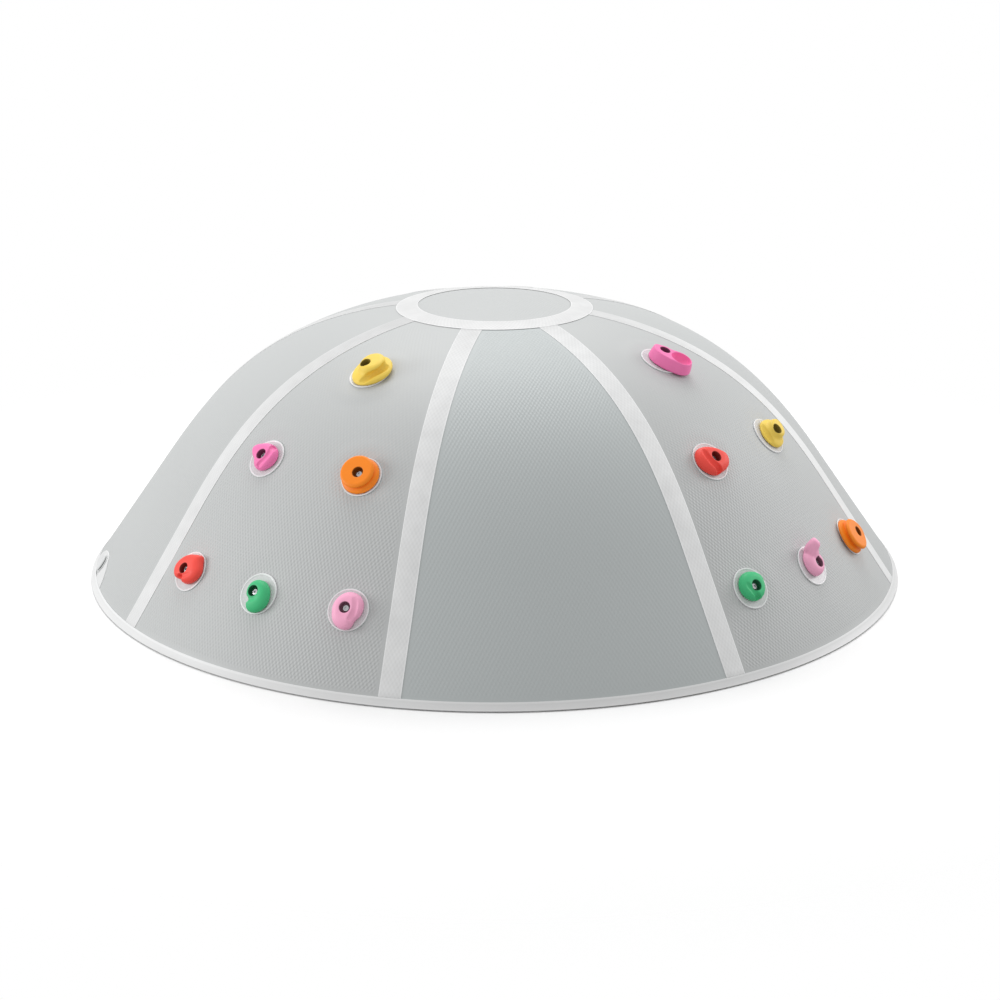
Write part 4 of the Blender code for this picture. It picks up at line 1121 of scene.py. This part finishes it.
class DOME_OT_holds(bpy.types.Operator):
    """Add the moulded climbing holds"""

    bl_idname = "dome.holds"
    bl_label = "Holds"

    def execute(self, context):
        look = context.scene.dome_look
        recess_top = BOSS_HEIGHT + 0.0004
        far = 0.09
        shank, boss = BOLT_RADIUS + 0.0010, BOSS_RADIUS + 0.0008
        bore = [(0, far), (COUNTERBORE_RADIUS, far), (COUNTERBORE_RADIUS, BOLT_SEAT), (shank, BOLT_SEAT),
                (shank, recess_top), (boss, recess_top), (boss, 0), (0, 0)]
        for name, shape in HOLDS.items():
            tools = []
            if "horn" in shape:
                tools.append(("UNION", tube(shape["horn"])))
            tools += [("DIFFERENCE", tube(path)) for path in shape.get("grooves", ())]
            tools += [("DIFFERENCE", crease(shape, path)) for path in shape.get("creases", ())]
            if "pocket" in shape:
                at, size = shape["pocket"]
                bm = bmesh.new()
                bmesh.ops.create_uvsphere(bm, u_segments=48, v_segments=24, radius=1.0)
                place = Matrix.Translation(Vector(at) / 1000) @ Matrix.Diagonal((*(Vector(size) / 1000), 1))
                bmesh.ops.transform(bm, matrix=place, verts=bm.verts)
                tools.append(("DIFFERENCE", mesh_of(bm, "pocket")))
            tools.append(("DIFFERENCE", turned(bore, 48)))
            mesh = cut_hold(hold_blank(shape), tools, shape.get("soft", HOLD_SMOOTHINGS))
            hold = new_object(f"grip_{name}", mesh, "dome", PLACES[name])
            colour = name.rsplit("_", 1)[0]
            paint(hold, cast_material(f"cast_{name}", tuple(getattr(look, colour))))
            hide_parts(f"hold_{name}")
        return {"FINISHED"}


# Valve

def patch_mesh(frame):
    """Arched patch over the hem, with its level arc upward and flat round the valve."""
    tops = np.linspace(-PATCH_HALF_WIDTH, PATCH_HALF_WIDTH, 81)
    low = PATCH_ARC_RADIUS - PATCH_HEIGHT
    rise = np.sqrt(PATCH_ARC_RADIUS**2 - tops**2) - low
    shares = np.linspace(1.0, 0.0, 25)
    flat = [spot(frame, TAPE, *VALVE_SEAT)]
    start = HEM_TOP - 2 * GAP
    rows = []
    for share in shares:
        row = []
        for offset, height in zip(tops, rise):
            distance = start - share * height
            azimuth = VALVE_GORE * PITCH + math.asin(offset / seam_point(distance)[0])
            row.append(settled(surface_point(distance, azimuth), flat))
        rows.append(row)
    return grid_mesh(rows, "patch", uv=lambda r, c: (tops[c], start - shares[r] * rise[c]),
                     edge=lambda r, c: PATCH_ARC_RADIUS - math.hypot(tops[c], low + shares[r] * rise[c]))


def cap_mesh(top):
    """Low screw cap with a ribbed edge, with its skirt down to zero."""
    under = top - CAP_THICKNESS
    shell = [(0, top - 0.0006), (CAP_RADIUS - 0.0045, top - 0.0006), (CAP_RADIUS - 0.0035, top),
             (CAP_RADIUS - 0.0004, top), (CAP_RADIUS - 0.0004, under), (CAP_SKIRT[1], under), (CAP_SKIRT[1], 0),
             (CAP_SKIRT[0], 0), (CAP_SKIRT[0], under), (0, under)]
    cap = helper(turned(rounded(shell, 0.0006, 4), 96, "cap"))
    ribs = bmesh.new()
    reached = CAP_RADIUS - RIB_RADIUS
    for angle in around(RIBS):
        piece = bmesh.ops.create_cone(ribs, cap_ends=True, segments=8, radius1=RIB_RADIUS, radius2=RIB_RADIUS,
                                      depth=CAP_THICKNESS * 0.7)["verts"]
        place = Matrix.Translation((reached * math.cos(angle), reached * math.sin(angle), (under + top) / 2))
        bmesh.ops.transform(ribs, matrix=place, verts=piece)
    grips = helper(mesh_of(ribs, "ribs"))
    combine(cap, "UNION", grips)
    mesh = baked(cap)
    remove(grips)
    shade(mesh, 40)
    return mesh


def coil_mesh(across, low, high):
    """Spring from one height to the other, across being its outer radius."""
    radius = across - SPRING_WIRE_RADIUS
    first, last = low + SPRING_WIRE_RADIUS, high - SPRING_WIRE_RADIUS
    turns = np.linspace(0, math.tau * SPRING_TURNS, SPRING_TURNS * 12 + 1)
    path = [(radius * math.cos(t), radius * math.sin(t), first + (last - first) * t / turns[-1],
             SPRING_WIRE_RADIUS) for t in turns]
    mesh = tube(1000 * np.array(path))
    mesh.shade_smooth()
    return mesh


class DOME_OT_valve(bpy.types.Operator):
    """Add the valve's patch, screw cap and spring, and finish its inner pieces"""

    bl_idname = "dome.valve"
    bl_label = "Valve"

    def execute(self, context):
        look = context.scene.dome_look
        white = moulded_material("valve_plastic", (0.67, 0.68, 0.68))
        frame = valve_frame()
        patch = new_object("patch_film", patch_mesh(frame), "dome")
        thicken(patch, TAPE, TAPE_BEVEL)
        pierced(patch, frame, VALVE_HOLE_RADIUS)
        paint(patch, tape_material(look, "patch_film", PATCH_PAINTED_SHADE))
        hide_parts("valve_patch")

        frame_cap = outward_frame("valve_cap")
        made = new_object("screw_cap", cap_mesh(reach("valve_cap", frame_cap)[2]), "valve_cap", frame_cap)
        paint(made, white)
        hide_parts("valve_cap")
        for node in ("valve_body", "valve_clamp_ring", "valve_stem"):
            paint_node(node, white)
        for node in ("valve_poppet", "valve_cap_seal"):
            paint_node(node, rubber_material(f"{node}_rubber", (0.03, 0.03, 0.03)))

        across, low, high = reach("valve_spring", frame)
        made = new_object("spring_coil", coil_mesh(across, low, high), "valve_poppet", frame)
        paint(made, steel_material("spring_wire", (0.80, 0.80, 0.81), 0.3))
        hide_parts("valve_spring")
        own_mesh(made)
        return {"FINISHED"}


# Stage: each lamp's place and size, and how far out the floor fades
LAMPS = {"top": ((0.2, 1.9, 4.0), 3.0), "left": ((-4.3, -0.1, 1.1), 1.8), "right": ((4.0, 0.6, 1.8), 1.8)}
FLOOR_RADIUS = 14.0
FLOOR_FADE = (1.40, 2.10)
FLOOR_DROP = 0.0005
FLOOR_BOUNCE = 0.4  # how much of the floor's colour the dome sees
LAMP_AIM = Vector((0, 0, 0.2))


def background(tree, strength):
    """Output of a white background."""
    made = tree.nodes.new("ShaderNodeBackground")
    made.inputs["Color"].default_value = (1, 1, 1, 1)
    made.inputs["Strength"].default_value = strength
    return made.outputs[0]


class DOME_OT_stage(bpy.types.Operator):
    """Set the floor, the lights and the camera"""

    bl_idname = "dome.stage"
    bl_label = "Stage"

    def execute(self, context):
        light = context.scene.dome_stage
        scene = context.scene
        scene.view_settings.view_transform = "Standard"
        bm = bmesh.new()
        bmesh.ops.create_circle(bm, cap_ends=True, segments=96, radius=FLOOR_RADIUS)
        floor = bpy.data.objects.new("floor", mesh_of(bm, "floor"))
        scene.collection.objects.link(floor)
        floor.location.z = -FLOOR_DROP
        graph = Graph("floor_paper", tuple(light.floor), 0.9)
        graph.shader.inputs["Specular IOR Level"].default_value = 0.1
        seen = graph.node("ShaderNodeLightPath").outputs["Is Camera Ray"]
        graph.blend(seen, scaled(light.floor, FLOOR_BOUNCE), tuple(light.floor))
        parts = graph.node("ShaderNodeVectorMath", operation="LENGTH")
        graph.link(graph.place(), parts.inputs[0])
        graph.link(graph.span(parts.outputs["Value"], *FLOOR_FADE, 1.0, 0.0), graph.shader.inputs["Alpha"])
        paint(floor, graph.material)

        for name, (place, size) in LAMPS.items():
            lamp = bpy.data.lights.new(name, "AREA")
            lamp.energy = getattr(light, name)
            lamp.size = size
            thing = bpy.data.objects.new(name, lamp)
            scene.collection.objects.link(thing)
            thing.location = place
            thing.rotation_mode = "QUATERNION"
            thing.rotation_quaternion = (LAMP_AIM - Vector(place)).to_track_quat("-Z", "Y")

        world = bpy.data.worlds.new("studio")
        scene.world = world
        world.use_nodes = True
        tree = world.node_tree
        tree.nodes.clear()
        seen, lit = background(tree, 1.0), background(tree, light.ambient)
        path = tree.nodes.new("ShaderNodeLightPath")
        either = tree.nodes.new("ShaderNodeMath")
        either.operation = "MAXIMUM"
        mix = tree.nodes.new("ShaderNodeMixShader")
        out = tree.nodes.new("ShaderNodeOutputWorld")
        for source, target in (
                (path.outputs["Is Camera Ray"], either.inputs[0]),
                (path.outputs["Is Transmission Ray"], either.inputs[1]), (either.outputs[0], mix.inputs["Fac"]),
                (lit, mix.inputs[1]), (seen, mix.inputs[2]), (mix.outputs[0], out.inputs["Surface"])):
            tree.links.new(source, target)

        data = bpy.data.cameras.new("camera")
        data.lens = CAMERA_LENS
        data.sensor_width = 36
        data.shift_x, data.shift_y = CAMERA_SHIFT
        camera = bpy.data.objects.new("camera", data)
        scene.collection.objects.link(camera)
        level = CAMERA_DISTANCE * math.cos(CAMERA_ELEVATION)
        camera.location = (-level * math.sin(CAMERA_TURN), -level * math.cos(CAMERA_TURN),
                           CAMERA_DISTANCE * math.sin(CAMERA_ELEVATION))
        camera.rotation_mode = "QUATERNION"
        camera.rotation_quaternion = (-camera.location).to_track_quat("-Z", "Y")
        scene.camera = camera
        return {"FINISHED"}


class DOME_PT_panel(bpy.types.Panel):
    """Steps that build the dome"""

    bl_idname = "DOME_PT_panel"
    bl_label = "Climbing dome"
    bl_space_type = "VIEW_3D"
    bl_region_type = "UI"
    bl_category = "Dome"

    def draw(self, context):
        for group in (context.scene.dome_look, context.scene.dome_stage):
            for name in group.bl_rna.properties.keys():
                if name not in ("name", "rna_type"):
                    self.layout.prop(group, name)
        for step in STEPS_IN_ORDER:
            self.layout.operator(step.bl_idname)


STEPS_IN_ORDER = (DOME_OT_stage, DOME_OT_gores, DOME_OT_crown, DOME_OT_tapes, DOME_OT_inside, DOME_OT_discs,
                  DOME_OT_bolts, DOME_OT_holds, DOME_OT_valve)
CLASSES = (DomeLook, StageLook, *STEPS_IN_ORDER, DOME_PT_panel)


def register():
    for made in CLASSES:
        bpy.utils.register_class(made)
    bpy.types.Scene.dome_look = bpy.props.PointerProperty(type=DomeLook)
    bpy.types.Scene.dome_stage = bpy.props.PointerProperty(type=StageLook)


def unregister():
    del bpy.types.Scene.dome_stage
    del bpy.types.Scene.dome_look
    for made in reversed(CLASSES):
        bpy.utils.unregister_class(made)


def main():
    register()
    bpy.ops.dome.stage()
    bpy.ops.dome.gores()
    bpy.ops.dome.crown()
    bpy.ops.dome.tapes()
    bpy.ops.dome.inside()
    bpy.ops.dome.discs()
    bpy.ops.dome.bolts()
    bpy.ops.dome.holds()
    bpy.ops.dome.valve()


if __name__ == "__main__":
    main()
